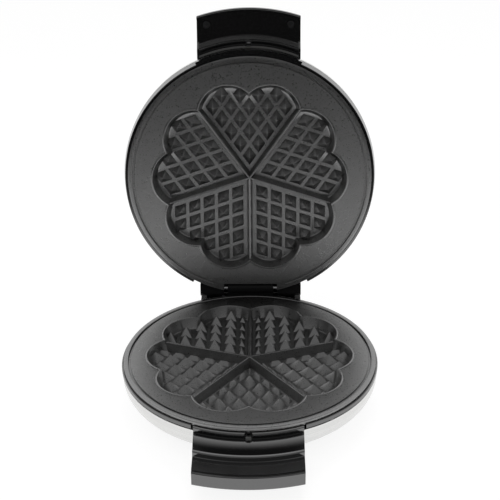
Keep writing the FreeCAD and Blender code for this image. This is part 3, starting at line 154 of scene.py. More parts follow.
class HandleSizes(bpy.types.PropertyGroup):
    """Sizes of the inner sides of the two handles. Heights are above the table with the lid shut."""
    lower_half: length("Lower half width", "Half the width of the lower handle's liner", 43)
    upper_half: length("Upper half width", "Half the width of the upper handle's liner", 43.6)
    rim_inner: length("Rim strip start", "Where the strip along the lower rim starts", 106.7)
    rim_height: length("Rim strip height", "Height of the strip along the lower rim", 44.7)
    ramp_start: length("Ramp start", "Where the lower ramp starts", 108.6)
    ramp_height: length("Ramp height", "Height of the ramp where it starts", 39.6)
    ridge: length("Ridge", "Where the ramp ends at the ridge", 123.2)
    ramp_gentle: angle("Gentle slope", "Slope of the ramp where it starts", 7)
    ramp_steep: angle("Steep slope", "Slope of the ramp at the ridge", 30)
    shelf_start: length("Lower shelf start", "Where the lower shelf starts", 126)
    shelf_end: length("Lower shelf end", "Where the lower shelf ends at the lip", 141.9)
    shelf_height: length("Lower shelf height", "Height of the lower shelf", 30.7)
    shelf_slope: angle("Shelf slope", "Slope of the lower shelf", 0)
    notch: length("Notch radius", "Radius of the notch in the lower rim", 3.3)
    notch_place: length("Notch place", "Where the middle of the notch lies", 109.8)
    panel_start: length("Panel start", "Where the panel of the upper handle starts", 115.3)
    panel_height: length("Panel height", "Height of the panel", 66.2)
    ledge: length("Ledge", "Where the ledge starts", 120.8)
    ledge_end: length("Ledge end", "Where the ledge ends", 125.3)
    upper_end: length("Upper shelf end", "Where the upper shelf ends at the lip", 145.4)
    upper_height: length("Upper shelf height", "Height of the upper shelf", 68)
    skin: length("Skin", "Thickness of the liners", 1.6)
    well: length("Screw well", "Radius of the wells for the screws", 3.2)
    well_half: length("Screw half distance", "Half the distance between the screws", 37)
    well_circle: length("Screw place", "Where the screws lie", 133.5)
    nub: length("Nub radius", "Radius of the small round nub on the panel", 2.6)
    nub_place: length("Nub place", "Where the nub lies", 117.2)


class FinishColours(bpy.types.PropertyGroup):
    """Colours of the materials."""
    coating: colour("Coating", "Dark non-stick coating of the plates", (0.008, 0.0078, 0.0076))
    steel: colour("Steel", "Brushed steel of the shells", (0.72, 0.72, 0.71))
    black_plastic: colour("Black plastic", "Glossy moulded plastic", (0.004, 0.004, 0.0042))
    matte_black: colour("Matte black", "Grained moulded plastic", (0.008, 0.008, 0.0082))
    pin_steel: colour("Pin steel", "Bright turned steel", (0.75, 0.75, 0.76))
    fastener: colour("Fastener", "Dark screws", (0.05, 0.05, 0.052))
    rubber: colour("Rubber", "Feet", (0.022, 0.022, 0.022))
    heater: colour("Heater", "Dull steel tube", (0.4, 0.39, 0.37))
    shield: colour("Shield", "Plain aluminium sheet", (0.8, 0.8, 0.8))
    ceramic: colour("Ceramic", "Off-white insulating pieces", (0.72, 0.69, 0.6))
    red_lens: colour("Red lens", "Power lamp", (0.55, 0.02, 0.015))
    green_lens: colour("Green lens", "Ready lamp", (0.04, 0.42, 0.08))
    bearing: colour("Bearing plastic", "Hinge bushes", (0.7, 0.69, 0.64))


class StageSettings(bpy.types.PropertyGroup):
    """Camera, floor and lamps."""
    distance: length("Camera distance", "From the middle of the lower plate", 988)
    elevation: angle("Camera elevation", "Angle above the table", 31.75)
    yaw: angle("Camera yaw", "Angle from straight ahead, to the right", 0.84)
    roll: angle("Camera roll", "Turn about the line of sight", 0.6)
    focal: FloatProperty(name="Focal length", description="In pixels of a 500 pixel picture", default=1161)
    aim_across: FloatProperty(name="Aim across", description="Where the plate's middle lies in the picture",
                              default=248.29)
    aim_down: FloatProperty(name="Aim down", description="Where the plate's middle lies in the picture",
                            default=354.61)
    ambient: share("Ambient", "Strength of the light from all round", 0.45)
    floor_tone: share("Floor tone", "How pale the floor is", 0.82)
    floor_glow: share("Floor glow", "Brightness of the floor that does not depend on the lamps", 0.86)
    floor_shade: share("Floor shade", "Share of the lamps' light and shadow that the white floor shows", 0.25)
    dark_side: share("Dark side", "How bright the studio is behind the camera, in reflections", 0.012)
    front_glow: share("Front glow", "Brightness high up behind the camera, in reflections", 0.35)
    fade_from: length("Fade start", "Where the floor in front starts to darken in reflections", -700)
    fade_to: length("Fade end", "Where the floor in front is dark in reflections", -1050)
    key_power: power("Key lamp", "Large lamp in front of the object, high up", 4)
    top_power: power("Top lamp", "Lamp above the object", 3)


def sizes():
    return bpy.context.scene.waffle_plates


def colours():
    return bpy.context.scene.waffle_colours


# Selecting and editing

def deselect():
    if bpy.context.object and bpy.context.object.mode != "OBJECT":
        bpy.ops.object.mode_set(mode="OBJECT")
    bpy.ops.object.select_all(action="DESELECT")


def take(piece):
    """Makes one piece the active one and the only one selected."""
    deselect()
    piece.select_set(True)
    bpy.context.view_layer.objects.active = piece
    return piece


def select_all():
    bpy.ops.mesh.select_all(action="SELECT")


def edit(piece):
    take(piece)
    bpy.ops.object.mode_set(mode="EDIT")
    bpy.ops.mesh.select_mode(type="VERT")
    select_all()


def leave():
    bpy.ops.object.mode_set(mode="OBJECT")


def pick(piece, kind, test):
    """In edit mode, selects only the vertices, edges or faces that pass the test."""
    bpy.ops.mesh.select_mode(type={"verts": "VERT", "edges": "EDGE", "faces": "FACE"}[kind])
    bpy.ops.mesh.select_all(action="DESELECT")
    mesh = bmesh.from_edit_mesh(piece.data)
    mesh.normal_update()
    for item in getattr(mesh, kind):
        if test(item):
            item.select_set(True)
    mesh.select_flush_mode()
    bmesh.update_edit_mesh(piece.data)


def faces_outward():
    """In edit mode, turns the faces of a closed shape outwards."""
    select_all()
    bpy.ops.mesh.normals_make_consistent(inside=False)


def close_up():
    """In edit mode, closes the open ends of a shape and turns its faces outwards."""
    select_all()
    bpy.ops.mesh.fill_holes(sides=0)
    faces_outward()


def face_up(piece):
    """In edit mode, turns a flat face upwards."""
    mesh = bmesh.from_edit_mesh(piece.data)
    mesh.normal_update()
    if max(face.normal.z for face in mesh.faces) < 0:
        bpy.ops.mesh.flip_normals()


def middle_of(edge):
    return (edge.verts[0].co + edge.verts[1].co) / 2


def runs_along_x(edge):
    way = edge.verts[1].co - edge.verts[0].co
    return max(abs(way.y), abs(way.z)) < CLOSE


def named(name):
    piece = bpy.context.object
    piece.name = name
    piece.data.name = name
    return piece


def apply_modifier(piece, kind, **settings):
    take(piece)
    bpy.ops.object.modifier_add(type=kind)
    modifier = piece.modifiers[-1]
    for key, value in settings.items():
        setattr(modifier, key, value)
    bpy.ops.object.modifier_apply(modifier=modifier.name)


def combine(piece, tool, operation):
    """Adds a tool shape to a piece, cuts it out, or keeps only what both share. The tool is used up."""
    apply_modifier(piece, "BOOLEAN", operation=operation, solver="MANIFOLD", object=tool)
    bpy.data.meshes.remove(tool.data)


def block(name, low, high):
    """A plain block between two corners, used as a tool or as the start of a piece."""
    low, high = Vector(low), Vector(high)
    deselect()
    bpy.ops.mesh.primitive_cube_add(size=1, location=(0, 0, 0))
    piece = named(name)
    edit(piece)
    bpy.ops.transform.resize(value=high - low)
    bpy.ops.transform.translate(value=(low + high) / 2)
    leave()
    return piece


def outline(name, points, closed=True):
    """A chain of edges, extruded from corner to corner."""
    points = [Vector(point) for point in points]
    deselect()
    bpy.ops.mesh.primitive_plane_add(size=MM)
    piece = named(name)
    edit(piece)
    bpy.ops.mesh.merge(type="CENTER")
    bpy.ops.transform.translate(value=points[0])
    for start, end in zip(points, points[1:]):
        bpy.ops.mesh.extrude_region_move(TRANSFORM_OT_translate={"value": end - start})
    if closed:
        last = len(points) - 1
        pick(piece, "verts", lambda vert: vert.index in (0, last))
        bpy.ops.mesh.edge_face_add()
    leave()
    return piece


def turn(piece, steps, sweep):
    """Spins an outline about the upright axis, all round, or evenly to both sides of where it stands."""
    full = sweep >= FULL_TURN
    if not full:
        piece.data.transform(Matrix.Rotation(sweep / 2, 4, "Z"))
    edit(piece)
    bpy.ops.mesh.spin(steps=steps, angle=sweep, center=(0, 0, 0), axis=(0, 0, 1))
    select_all()
    bpy.ops.mesh.remove_doubles(threshold=MERGE)
    if full:
        faces_outward()
    else:
        close_up()
    leave()
    return piece


def lathe(name, profile, steps, sweep=FULL_TURN):
    """A turned piece from radii and heights, drawn at the front. A profile on the axis stays open there."""
    points = [(0, -radius, height) for radius, height in profile]
    return turn(outline(name, points, closed=profile[0][0] > 0), steps, sweep)


def finish(piece, body, nodes, material, smooth):
    """Swings a finished mesh to its place, smooths it, gives it its body and its material, and hides the
    nodes it stands in for.
    """
    take(piece)
    bpy.ops.object.shade_smooth_by_angle(angle=math.radians(smooth))
    piece.matrix_world = PLACES[body]
    bpy.ops.object.transform_apply(location=True, rotation=True, scale=True)
    piece.data.materials.clear()
    piece.data.materials.append(material)
    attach(piece, body)
    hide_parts(*nodes)


# Materials. Their names differ from those that come with the frame
FINISH = "_finish"

# Where the values of a noise pattern mostly lie, and the size of the patches that handling leaves
PATTERN_LOW = 0.3
PATTERN_HIGH = 0.7
WEAR = 60 * MM


def new_material(name, metallic=0.0, specular=0.5, ior=1.5):
    material = bpy.data.materials.new(name + FINISH)
    material.use_nodes = True
    shader = material.node_tree.nodes["Principled BSDF"]
    shader.inputs["Metallic"].default_value = metallic
    shader.inputs["Specular IOR Level"].default_value = specular
    shader.inputs["IOR"].default_value = ior
    return material.node_tree.nodes, material.node_tree.links, shader


def noise(nodes, links, source, size, detail=2.0, rough=0.5):
    """A noise pattern whose grains have about this size."""
    texture = nodes.new("ShaderNodeTexNoise")
    texture.inputs["Scale"].default_value = 1 / size
    texture.inputs["Detail"].default_value = detail
    texture.inputs["Roughness"].default_value = rough
    links.new(source, texture.inputs["Vector"])
    return texture.outputs["Fac"]


def tone(nodes, links, source, base, spread, low=PATTERN_LOW, high=PATTERN_HIGH):
    """Makes a pattern lighten and darken a colour."""
    ramp = nodes.new("ShaderNodeValToRGB")
    ramp.color_ramp.elements[0].position = low
    ramp.color_ramp.elements[1].position = high
    ramp.color_ramp.elements[0].color = [part * (1 - spread) for part in base] + [1]
    ramp.color_ramp.elements[1].color = [part * (1 + spread) for part in base] + [1]
    links.new(source, ramp.inputs["Fac"])
    return ramp.outputs["Color"]


def vary(nodes, links, source, low, high):
    """Turns a pattern into a number between two limits."""
    spread = nodes.new("ShaderNodeMapRange")
    spread.inputs["From Min"].default_value = PATTERN_LOW
    spread.inputs["From Max"].default_value = PATTERN_HIGH
    spread.inputs["To Min"].default_value = low
    spread.inputs["To Max"].default_value = high
    links.new(source, spread.inputs["Value"])
    return spread.outputs["Result"]


def bump(nodes, links, source, depth, strength=1.0):
    """Turns a pattern into dents of about this depth."""
    node = nodes.new("ShaderNodeBump")
    node.inputs["Distance"].default_value = depth
    node.inputs["Strength"].default_value = strength
    links.new(source, node.inputs["Height"])
    return node.outputs["Normal"]


def grained(name, base, rough, grain, depth, spread=0.15, metallic=0.0, specular=0.5, ior=1.5):
    """A surface with fine grain, and with broad changes of gloss such as handling leaves."""
    nodes, links, shader = new_material(name, metallic, specular, ior)
    place = nodes.new("ShaderNodeTexCoord").outputs["Object"]
    fine = noise(nodes, links, place, grain, detail=3)
    broad = noise(nodes, links, place, WEAR)
    links.new(tone(nodes, links, fine, base, spread), shader.inputs["Base Color"])
    links.new(vary(nodes, links, broad, low=rough * 0.85, high=rough * 1.15), shader.inputs["Roughness"])
    links.new(bump(nodes, links, fine, depth), shader.inputs["Normal"])


def coated(name, base):
    """Non-stick coating over a blasted casting: dark, with a fine sparkle of paler grains."""
    nodes, links, shader = new_material(name, specular=1.0, ior=2.15)
    place = nodes.new("ShaderNodeTexCoord").outputs["Object"]
    grain = noise(nodes, links, place, size=1.4 * MM, detail=4, rough=0.7)
    paint = tone(nodes, links, grain, base, spread=0.8, low=0.4, high=0.75)
    links.new(paint, shader.inputs["Base Color"])
    links.new(vary(nodes, links, grain, low=0.24, high=0.4), shader.inputs["Roughness"])
    links.new(bump(nodes, links, grain, depth=0.13 * MM, strength=0.9), shader.inputs["Normal"])


def back_to_middle(nodes, links, body):
    """Object coordinates moved so that the upright axis of the plates is the Z axis, for a body at rest."""
    place = nodes.new("ShaderNodeTexCoord").outputs["Object"]
    inverse = PLACES[body].inverted()
    mapping = nodes.new("ShaderNodeMapping")
    mapping.inputs["Rotation"].default_value = inverse.to_euler()
    mapping.inputs["Location"].default_value = inverse.to_translation()
    links.new(place, mapping.inputs["Vector"])
    return mapping.outputs["Vector"]


def brushed(name, base, body, rough):
    """Sheet steel brushed round its middle: fine rings that hardly change along the ring."""
    nodes, links, shader = new_material(name, metallic=1.0)
    place = back_to_middle(nodes, links, body)
    flat = nodes.new("ShaderNodeVectorMath")
    flat.operation = "MULTIPLY"
    flat.inputs[1].default_value = (1, 1, 0)
    links.new(place, flat.inputs[0])
    radius = nodes.new("ShaderNodeVectorMath")
    radius.operation = "LENGTH"
    links.new(flat.outputs["Vector"], radius.inputs[0])
    parts = nodes.new("ShaderNodeSeparateXYZ")
    links.new(place, parts.inputs["Vector"])
    rings = nodes.new("ShaderNodeCombineXYZ")
    links.new(radius.outputs["Value"], rings.inputs["X"])
    links.new(parts.outputs["Z"], rings.inputs["Y"])
    lines = noise(nodes, links, rings.outputs["Vector"], size=0.35 * MM, detail=4, rough=0.7)
    broad = noise(nodes, links, place, size=45 * MM)
    links.new(tone(nodes, links, lines, base, spread=0.1), shader.inputs["Base Color"])
    links.new(vary(nodes, links, broad, low=rough * 0.85, high=rough * 1.2), shader.inputs["Roughness"])
    links.new(bump(nodes, links, lines, depth=0.004 * MM, strength=0.6), shader.inputs["Normal"])


def lens(name, base):
    """A glossy coloured lens with a slight ripple."""
    nodes, links, shader = new_material(name)
    place = nodes.new("ShaderNodeTexCoord").outputs["Object"]
    ripple = noise(nodes, links, place, size=1.2 * MM)
    links.new(tone(nodes, links, ripple, base, spread=0.25), shader.inputs["Base Color"])
    links.new(bump(nodes, links, ripple, depth=0.03 * MM), shader.inputs["Normal"])
    shader.inputs["Roughness"].default_value = 0.12


def make_materials():
    own = colours()
    coated("coated_aluminium", own.coating)
    brushed("brushed_steel_base", own.steel, "base", rough=0.26)
    brushed("brushed_steel_lid", own.steel, "lid", rough=0.26)
    grained("black_plastic", own.black_plastic, rough=0.12, grain=0.9 * MM, depth=0.003 * MM,
            specular=1.0, ior=1.75)
    grained("hinge_plastic", own.black_plastic, rough=0.5, grain=0.6 * MM, depth=0.02 * MM, specular=0.2)
    grained("matte_black", own.matte_black, rough=0.45, grain=0.6 * MM, depth=0.03 * MM)
    grained("pin_steel", own.pin_steel, rough=0.18, grain=0.4 * MM, depth=0.003 * MM, spread=0.08,
            metallic=1.0)
    grained("fastener_steel", own.fastener, rough=0.35, grain=0.3 * MM, depth=0.01 * MM, spread=0.2,
            metallic=0.8)
    grained("foot_rubber", own.rubber, rough=0.7, grain=0.5 * MM, depth=0.04 * MM, spread=0.25, specular=0.3)
    grained("heater_steel", own.heater, rough=0.4, grain=0.6 * MM, depth=0.01 * MM, spread=0.25, metallic=1.0)
    grained("shield_aluminium", own.shield, rough=0.3, grain=0.8 * MM, depth=0.006 * MM, spread=0.08,
            metallic=1.0)
    grained("ceramic", own.ceramic, rough=0.5, grain=0.8 * MM, depth=0.02 * MM, spread=0.08)
    lens("red_lens", own.red_lens)
    lens("green_lens", own.green_lens)
    grained("bush_plastic", own.bearing, rough=0.4, grain=0.7 * MM, depth=0.01 * MM, spread=0.06)


def material(name):
    if name + FINISH not in bpy.data.materials:
        make_materials()
    return bpy.data.materials[name + FINISH]


# Stage: the picture's side in pixels, the sensor in millimetres, the floor and the lamps in metres
PICTURE_SIDE = 500
SENSOR = 36
FLOOR_RADIUS = 6
KEY_PLACE = (-0.2, -0.75, 1.35)
KEY_SIZE = 1.2
TOP_PLACE = (0.1, 0.2, 1.4)
TOP_SIZE = 0.6
LAMP_AIM = Vector((0, 0, 0.1))

# Where reflections brighten towards the back, and where the glow in front begins and ends
BACK_RISE = (0.1, 0.6)
GLOW_RISE = (0.25, 0.5)
GLOW_FALL = (0.85, 0.97)


class WAFFLE_OT_stage(bpy.types.Operator):
    """Makes the camera, the floor, the light from all round and the lamps"""
    bl_idname = "waffle.stage"
    bl_label = "Stage"

    def execute(self, context):
        stage = context.scene.waffle_stage
        self.make_camera(context, stage)
        self.make_floor(stage)
        self.make_world(context, stage)
        self.make_lamps(stage)
        context.scene.view_settings.view_transform = "Standard"
        return {"FINISHED"}

    def make_camera(self, context, stage):
        centre = MIDDLE + Vector((0, 0, LOWER_PLATE[1].z - sizes().bead_height))
        pitch = stage.elevation - math.atan((stage.aim_down - PICTURE_SIDE / 2) / stage.focal)
        heading = stage.yaw + math.atan((stage.aim_across - PICTURE_SIDE / 2) / stage.focal)
        back = self.direction(stage.yaw, stage.elevation)
        axis = self.direction(heading, pitch)
        right = (-axis).cross(Vector((0, 0, 1))).normalized()
        up = right.cross(-axis)
        turn = Matrix((math.cos(stage.roll) * right - math.sin(stage.roll) * up,
                       math.sin(stage.roll) * right + math.cos(stage.roll) * up, axis)).transposed()
        deselect()
        bpy.ops.object.camera_add()
        camera = context.object
        camera.name = "camera"
        camera.matrix_world = Matrix.Translation(centre + back * stage.distance) @ turn.to_4x4()
        camera.data.sensor_width = SENSOR
        camera.data.lens = stage.focal * SENSOR / PICTURE_SIDE
        context.scene.camera = camera

    @staticmethod
    def direction(around, above):
        level = math.cos(above)
        return Vector((math.sin(around) * level, -math.cos(around) * level, math.sin(above)))

    def make_floor(self, stage):
        deselect()
        bpy.ops.mesh.primitive_circle_add(vertices=FLOOR_SIDES, radius=FLOOR_RADIUS, fill_type="NGON")
        floor = named("floor")
        paint = bpy.data.materials.new("floor_paint")
        paint.use_nodes = True
        nodes, links = paint.node_tree.nodes, paint.node_tree.links
        nodes.remove(nodes["Principled BSDF"])
        matte = nodes.new("ShaderNodeBsdfDiffuse")
        matte.inputs["Color"].default_value = [stage.floor_tone] * 3 + [1]
        shaded = nodes.new("ShaderNodeBsdfDiffuse")
        shaded.inputs["Color"].default_value = [stage.floor_shade] * 3 + [1]
        glow = nodes.new("ShaderNodeEmission")
        glow.inputs["Strength"].default_value = stage.floor_glow
        white = nodes.new("ShaderNodeAddShader")
        links.new(shaded.outputs["BSDF"], white.inputs[0])
        links.new(glow.outputs["Emission"], white.inputs[1])
        dark = nodes.new("ShaderNodeEmission")
        dark.inputs["Strength"].default_value = stage.dark_side
        place = nodes.new("ShaderNodeTexCoord").outputs["Object"]
        fade = self.ramp_along(nodes, links, place, stage.fade_to, stage.fade_from, 0, 1)
        mirrored = self.mix(nodes, links, fade, dark.outputs["Emission"], white.outputs["Shader"])
        path = nodes.new("ShaderNodeLightPath")
        seen = self.mix(nodes, links, self.mirror_rays(nodes, links, path), matte.outputs["BSDF"], mirrored)
        seen = self.mix(nodes, links, path.outputs["Is Camera Ray"], seen, white.outputs["Shader"])
        links.new(seen, nodes["Material Output"].inputs["Surface"])
        floor.data.materials.append(paint)

    @staticmethod
    def mix(nodes, links, share_of_second, first, second):
        both = nodes.new("ShaderNodeMixShader")
        links.new(share_of_second, both.inputs["Fac"])
        links.new(first, both.inputs[1])
        links.new(second, both.inputs[2])
        return both.outputs["Shader"]

    @staticmethod
    def ramp_along(nodes, links, place, start, end, low, high, axis="Y"):
        """A number that goes smoothly from low to high between two places along an axis."""
        parts = nodes.new("ShaderNodeSeparateXYZ")
        links.new(place, parts.inputs["Vector"])
        ramp = nodes.new("ShaderNodeMapRange")
        ramp.interpolation_type = "SMOOTHSTEP"
        for name, value in (("From Min", start), ("From Max", end), ("To Min", low), ("To Max", high)):
            ramp.inputs[name].default_value = value
        links.new(parts.outputs[axis], ramp.inputs["Value"])
        return ramp.outputs["Result"]

    @staticmethod
    def choose(nodes, links, operation, first, second):
        """The larger or the smaller of two numbers."""
        either = nodes.new("ShaderNodeMath")
        either.operation = operation
        links.new(first, either.inputs[0])
        links.new(second, either.inputs[1])
        return either.outputs["Value"]

    def mirror_rays(self, nodes, links, path):
        """One for rays of reflections and of clear pieces, and nothing for the light itself."""
        return self.choose(nodes, links, "MAXIMUM", path.outputs["Is Glossy Ray"],
                           path.outputs["Is Transmission Ray"])

    def make_world(self, context, stage):
        world = bpy.data.worlds.new("studio")
        world.use_nodes = True
        nodes, links = world.node_tree.nodes, world.node_tree.links
        ambient = nodes["Background"]
        ambient.inputs["Color"].default_value = (1, 1, 1, 1)
        ambient.inputs["Strength"].default_value = stage.ambient
        white = nodes.new("ShaderNodeBackground")
        white.inputs["Color"].default_value = (1, 1, 1, 1)
        white.inputs["Strength"].default_value = 1
        room = nodes.new("ShaderNodeBackground")
        room.inputs["Color"].default_value = (1, 1, 1, 1)
        direction = nodes.new("ShaderNodeTexCoord").outputs["Generated"]
        dark, glow = stage.dark_side, stage.front_glow
        behind = self.ramp_along(nodes, links, direction, *BACK_RISE, dark, 1)
        rising = self.ramp_along(nodes, links, direction, *GLOW_RISE, dark, glow, "Z")
        falling = self.ramp_along(nodes, links, direction, *GLOW_FALL, glow, dark, "Z")
        front = self.choose(nodes, links, "MINIMUM", rising, falling)
        links.new(self.choose(nodes, links, "MAXIMUM", behind, front), room.inputs["Strength"])
        path = nodes.new("ShaderNodeLightPath")
        seen = self.mix(nodes, links, self.mirror_rays(nodes, links, path), ambient.outputs["Background"],
                        room.outputs["Background"])
        seen = self.mix(nodes, links, path.outputs["Is Camera Ray"], seen, white.outputs["Background"])
        links.new(seen, nodes["World Output"].inputs["Surface"])
        context.scene.world = world

    def make_lamps(self, stage):
        for name, place, size, energy in (
            ("key_lamp", KEY_PLACE, KEY_SIZE, stage.key_power),
            ("top_lamp", TOP_PLACE, TOP_SIZE, stage.top_power),
        ):
            deselect()
            bpy.ops.object.light_add(type="AREA", location=place)
            lamp = bpy.context.object
            lamp.name = name
            lamp.data.energy = energy
            lamp.data.shape = "SQUARE"
            lamp.data.size = size
            lamp.visible_glossy = False
            aim = LAMP_AIM - lamp.location
            lamp.rotation_euler = aim.to_track_quat("-Z", "Y").to_euler()


# Baking plates

# Bead: shares of its width, outwards, and of its height
BEAD_SHAPE = ((1.1, -1), (1, 0), (0.9, 0.6), (0.76, 0.9), (0.6, 1))
# Mouth of a heart: shares of the bead's width and height
MOUTH_SHAPE = ((0.5, 2), (0.36, 1), (0.2, 0.85), (0.1, 0.4))
# Foot of a heart's wall: shares of the draft, inwards, and of the depth
FOOT_SHAPE = ((-0.82, 0.9), (-1.0, 0.97), (-1.25, 1))
# Roundings: the rim's outer edge, the groove's lips and the crest of a ridge
RIM_CORNER = 0.3
LIP_SHARE = 0.4
CREST_SHARE = 0.7


def ring_of_lobes(name, growth, level):
    """A face with the outline of the ring of hearts, grown outwards by some distance."""
    own = sizes()
    lobes = own.hearts * 2
    half = math.pi / lobes
    aim = half - math.pi / 2
    reach = own.lobe_reach - own.lobe_radius
    outwards = Vector((math.cos(aim), math.sin(aim), 0))
    deselect()
    bpy.ops.mesh.primitive_circle_add(vertices=LOBE_POINTS, radius=own.lobe_radius + growth)
    piece = named(name)
    edit(piece)
    bpy.ops.transform.translate(value=outwards * reach + Vector((0, 0, level)))
    for side in (1, -1):
        edge = aim + side * half
        select_all()
        bpy.ops.mesh.bisect(plane_co=(0, 0, 0), plane_no=(-side * math.sin(edge), side * math.cos(edge), 0),
                            clear_outer=True, threshold=CUT)
    pick(piece, "verts", lambda vert: vert.co.dot(outwards) < reach)
    bpy.ops.mesh.delete(type="VERT")
    select_all()
    bpy.ops.mesh.spin(dupli=True, steps=lobes - 1, angle=FULL_TURN - 2 * half, center=(0, 0, 0),
                      axis=(0, 0, 1))
    select_all()
    bpy.ops.mesh.remove_doubles(threshold=MERGE)
    select_all()
    bpy.ops.mesh.edge_face_add()
    face_up(piece)
    return piece


def lobed_block(name, steps):
    """A closed block of the ring of hearts, inset step by step from its widest outline."""
    growth, level = steps[0]
    piece = ring_of_lobes(name, growth, level)
    for inner, height in steps[1:]:
        bpy.ops.mesh.select_mode(type="FACE")
        bpy.ops.mesh.inset(thickness=growth - inner, depth=height - level, use_even_offset=True)
        growth, level = inner, height
    close_up()
    leave()
    return piece


def stud_rows(staggered):
    """Distance from the side of a heart, and half width, of each row of studs. Staggered rows stand where
    the other plate has its gaps, and begin with a narrow row along the ridge."""
    own = sizes()
    half, pitch = own.stud_width / 2, own.stud_pitch
    first = own.stud_margin + half
    if not staggered:
        return [(first + pitch * number, half) for number in range(own.stud_rows)]
    low, high = own.half_stud_from, first + half - pitch / 2
    narrow = ((low + high) / 2, (high - low) / 2)
    return [narrow] + [(first + pitch * (number + 0.5), half) for number in range(own.stud_rows)]


def heart_sides():
    """Directions of the two straight sides of the front heart."""
    half_turn = math.pi / sizes().hearts
    turns = (-math.pi / 2 - half_turn, -math.pi / 2 + half_turn)
    return [Vector((math.cos(turn), math.sin(turn), 0)) for turn in turns]


def stud(name, halves, centre):
    """One stud like a hipped roof on a slanted foot, sunk into the floor, with small rounded edges."""
    own = sizes()
    slant = math.sin(FULL_TURN / own.hearts)
    lean = min(halves) * (1 - own.stud_tip / own.stud_width)
    height = own.stud_height * min(halves) / (own.stud_width / 2)
    sink = own.casting_wall / 2
    growth = lean * sink / height
    along, across = [side * (half + growth) / slant for side, half in zip(heart_sides(), halves)]
    place = centre + Vector((0, 0, -sink - own.cavity_depth))
    corners = (along + across, along - across, -along - across, across - along)
    piece = outline(name, [place + corner for corner in corners])
    edit(piece)
    bpy.ops.mesh.edge_face_add()
    face_up(piece)
    bpy.ops.mesh.select_mode(type="FACE")
    bpy.ops.mesh.inset(thickness=lean + growth, depth=height + sink, use_even_offset=True)
    close_up()
    middle = height / 2 - own.cavity_depth
    pick(piece, "edges", lambda edge: max(vert.co.z for vert in edge.verts) > middle)
    bpy.ops.mesh.bevel(offset=own.stud_edge * min(halves) * 2 / own.stud_width, segments=2, affect="EDGES",
                       clamp_overlap=True)
    return piece


def stud_field(name, staggered):
    """All the studs of a plate. One of each shape is set out over a heart, and the heart is copied round."""
    own = sizes()
    sides = heart_sides()
    slant = math.sin(FULL_TURN / own.hearts)
    rows = stud_rows(staggered)
    furthest = own.stud_rows + (1 if staggered else 0)
    shapes = {}
    for i, (along, half_along) in enumerate(rows):
        for j, (across, half_across) in enumerate(rows):
            if i + j <= furthest:
                centre = (sides[0] * along + sides[1] * across) / slant
                shapes.setdefault((half_along, half_across), []).append(centre)
    pieces = []
    for halves, centres in shapes.items():
        pieces.append(stud(name, halves, centres[0]))
        select_all()
        for start, end in zip(centres, centres[1:]):
            bpy.ops.mesh.duplicate_move(TRANSFORM_OT_translate={"value": end - start})
        leave()
    field = take(pieces[0])
    for piece in pieces[1:]:
        piece.select_set(True)
    if len(pieces) > 1:
        bpy.ops.object.join()
    edit(field)
    around = FULL_TURN / own.hearts
    bpy.ops.mesh.spin(dupli=True, steps=own.hearts - 1, angle=FULL_TURN - around, center=(0, 0, 0),
                      axis=(0, 0, 1))
    faces_outward()
    leave()
    return field


def divider(name, turn):
    """One ridge between two hearts, narrow at its crest."""
    own = sizes()
    floor = -own.cavity_depth
    foot, crest = own.divider_foot / 2, own.divider_crest / 2
    low = (0, -foot, floor - own.casting_wall / 2)
    piece = block(name, low, (own.divider_reach, foot, floor + own.divider_height))
    edit(piece)
    high = floor + own.divider_height / 2
    pick(piece, "verts", lambda vert: vert.co.z > high)
    bpy.ops.transform.resize(value=(1, crest / foot, 1))
    pick(piece, "edges", lambda edge: middle_of(edge).z > high and runs_along_x(edge))
    bpy.ops.mesh.bevel(offset=crest * CREST_SHARE, segments=3, affect="EDGES")
    leave()
    piece.data.transform(Matrix.Rotation(turn, 4, "Z"))
    return piece


def baking_plate(name, radius, groove, staggered):
    """A cast plate, cooking face up at level 0."""
    own = sizes()
    thick, edge = own.rim_thickness, own.rim_round
    half, depth = own.groove_width / 2, own.groove_depth
    lip = half * LIP_SHARE
    plate = lathe(name, [
        (0, -thick), (radius - edge, -thick), (radius, edge - thick), (radius, -edge),
        (radius - edge * RIM_CORNER, -edge * RIM_CORNER), (radius - edge, 0),
        (groove + half + lip, 0), (groove + half, -lip), (groove + half, -depth),
        (groove - half, -depth), (groove - half, -lip), (groove - half - lip, 0), (0, 0),
    ], PLATE_STEPS)
    bead, wide = own.bead_height, own.bead_width
    draft, floor, wall = own.cavity_draft, -own.cavity_depth, own.casting_wall
    combine(plate, lobed_block("pan", [(wall, -thick / 2), (wall - draft, floor - wall)]), "UNION")
    beading = [(wide * out, bead * up) for out, up in BEAD_SHAPE]
    combine(plate, lobed_block("bead", beading), "UNION")
    mouth = [(wide * out, bead * up) for out, up in MOUTH_SHAPE]
    foot = [(draft * out, floor * down) for out, down in FOOT_SHAPE]
    combine(plate, lobed_block("cavity", mouth + foot), "DIFFERENCE")
    studs = stud_field("studs", staggered)
    limit = lobed_block("limit", [(wall / 2, -bead), (wall / 2 - draft, floor - wall * 0.75)])
    combine(studs, limit, "INTERSECT")
    combine(plate, studs, "UNION")
    step = FULL_TURN / own.hearts
    for number in range(own.hearts):
        combine(plate, divider("divider", step * (number + 0.5) - math.pi / 2), "UNION")
    return plate


def cut_box(piece, low, high):
    combine(piece, block("cutter", low, high), "DIFFERENCE")


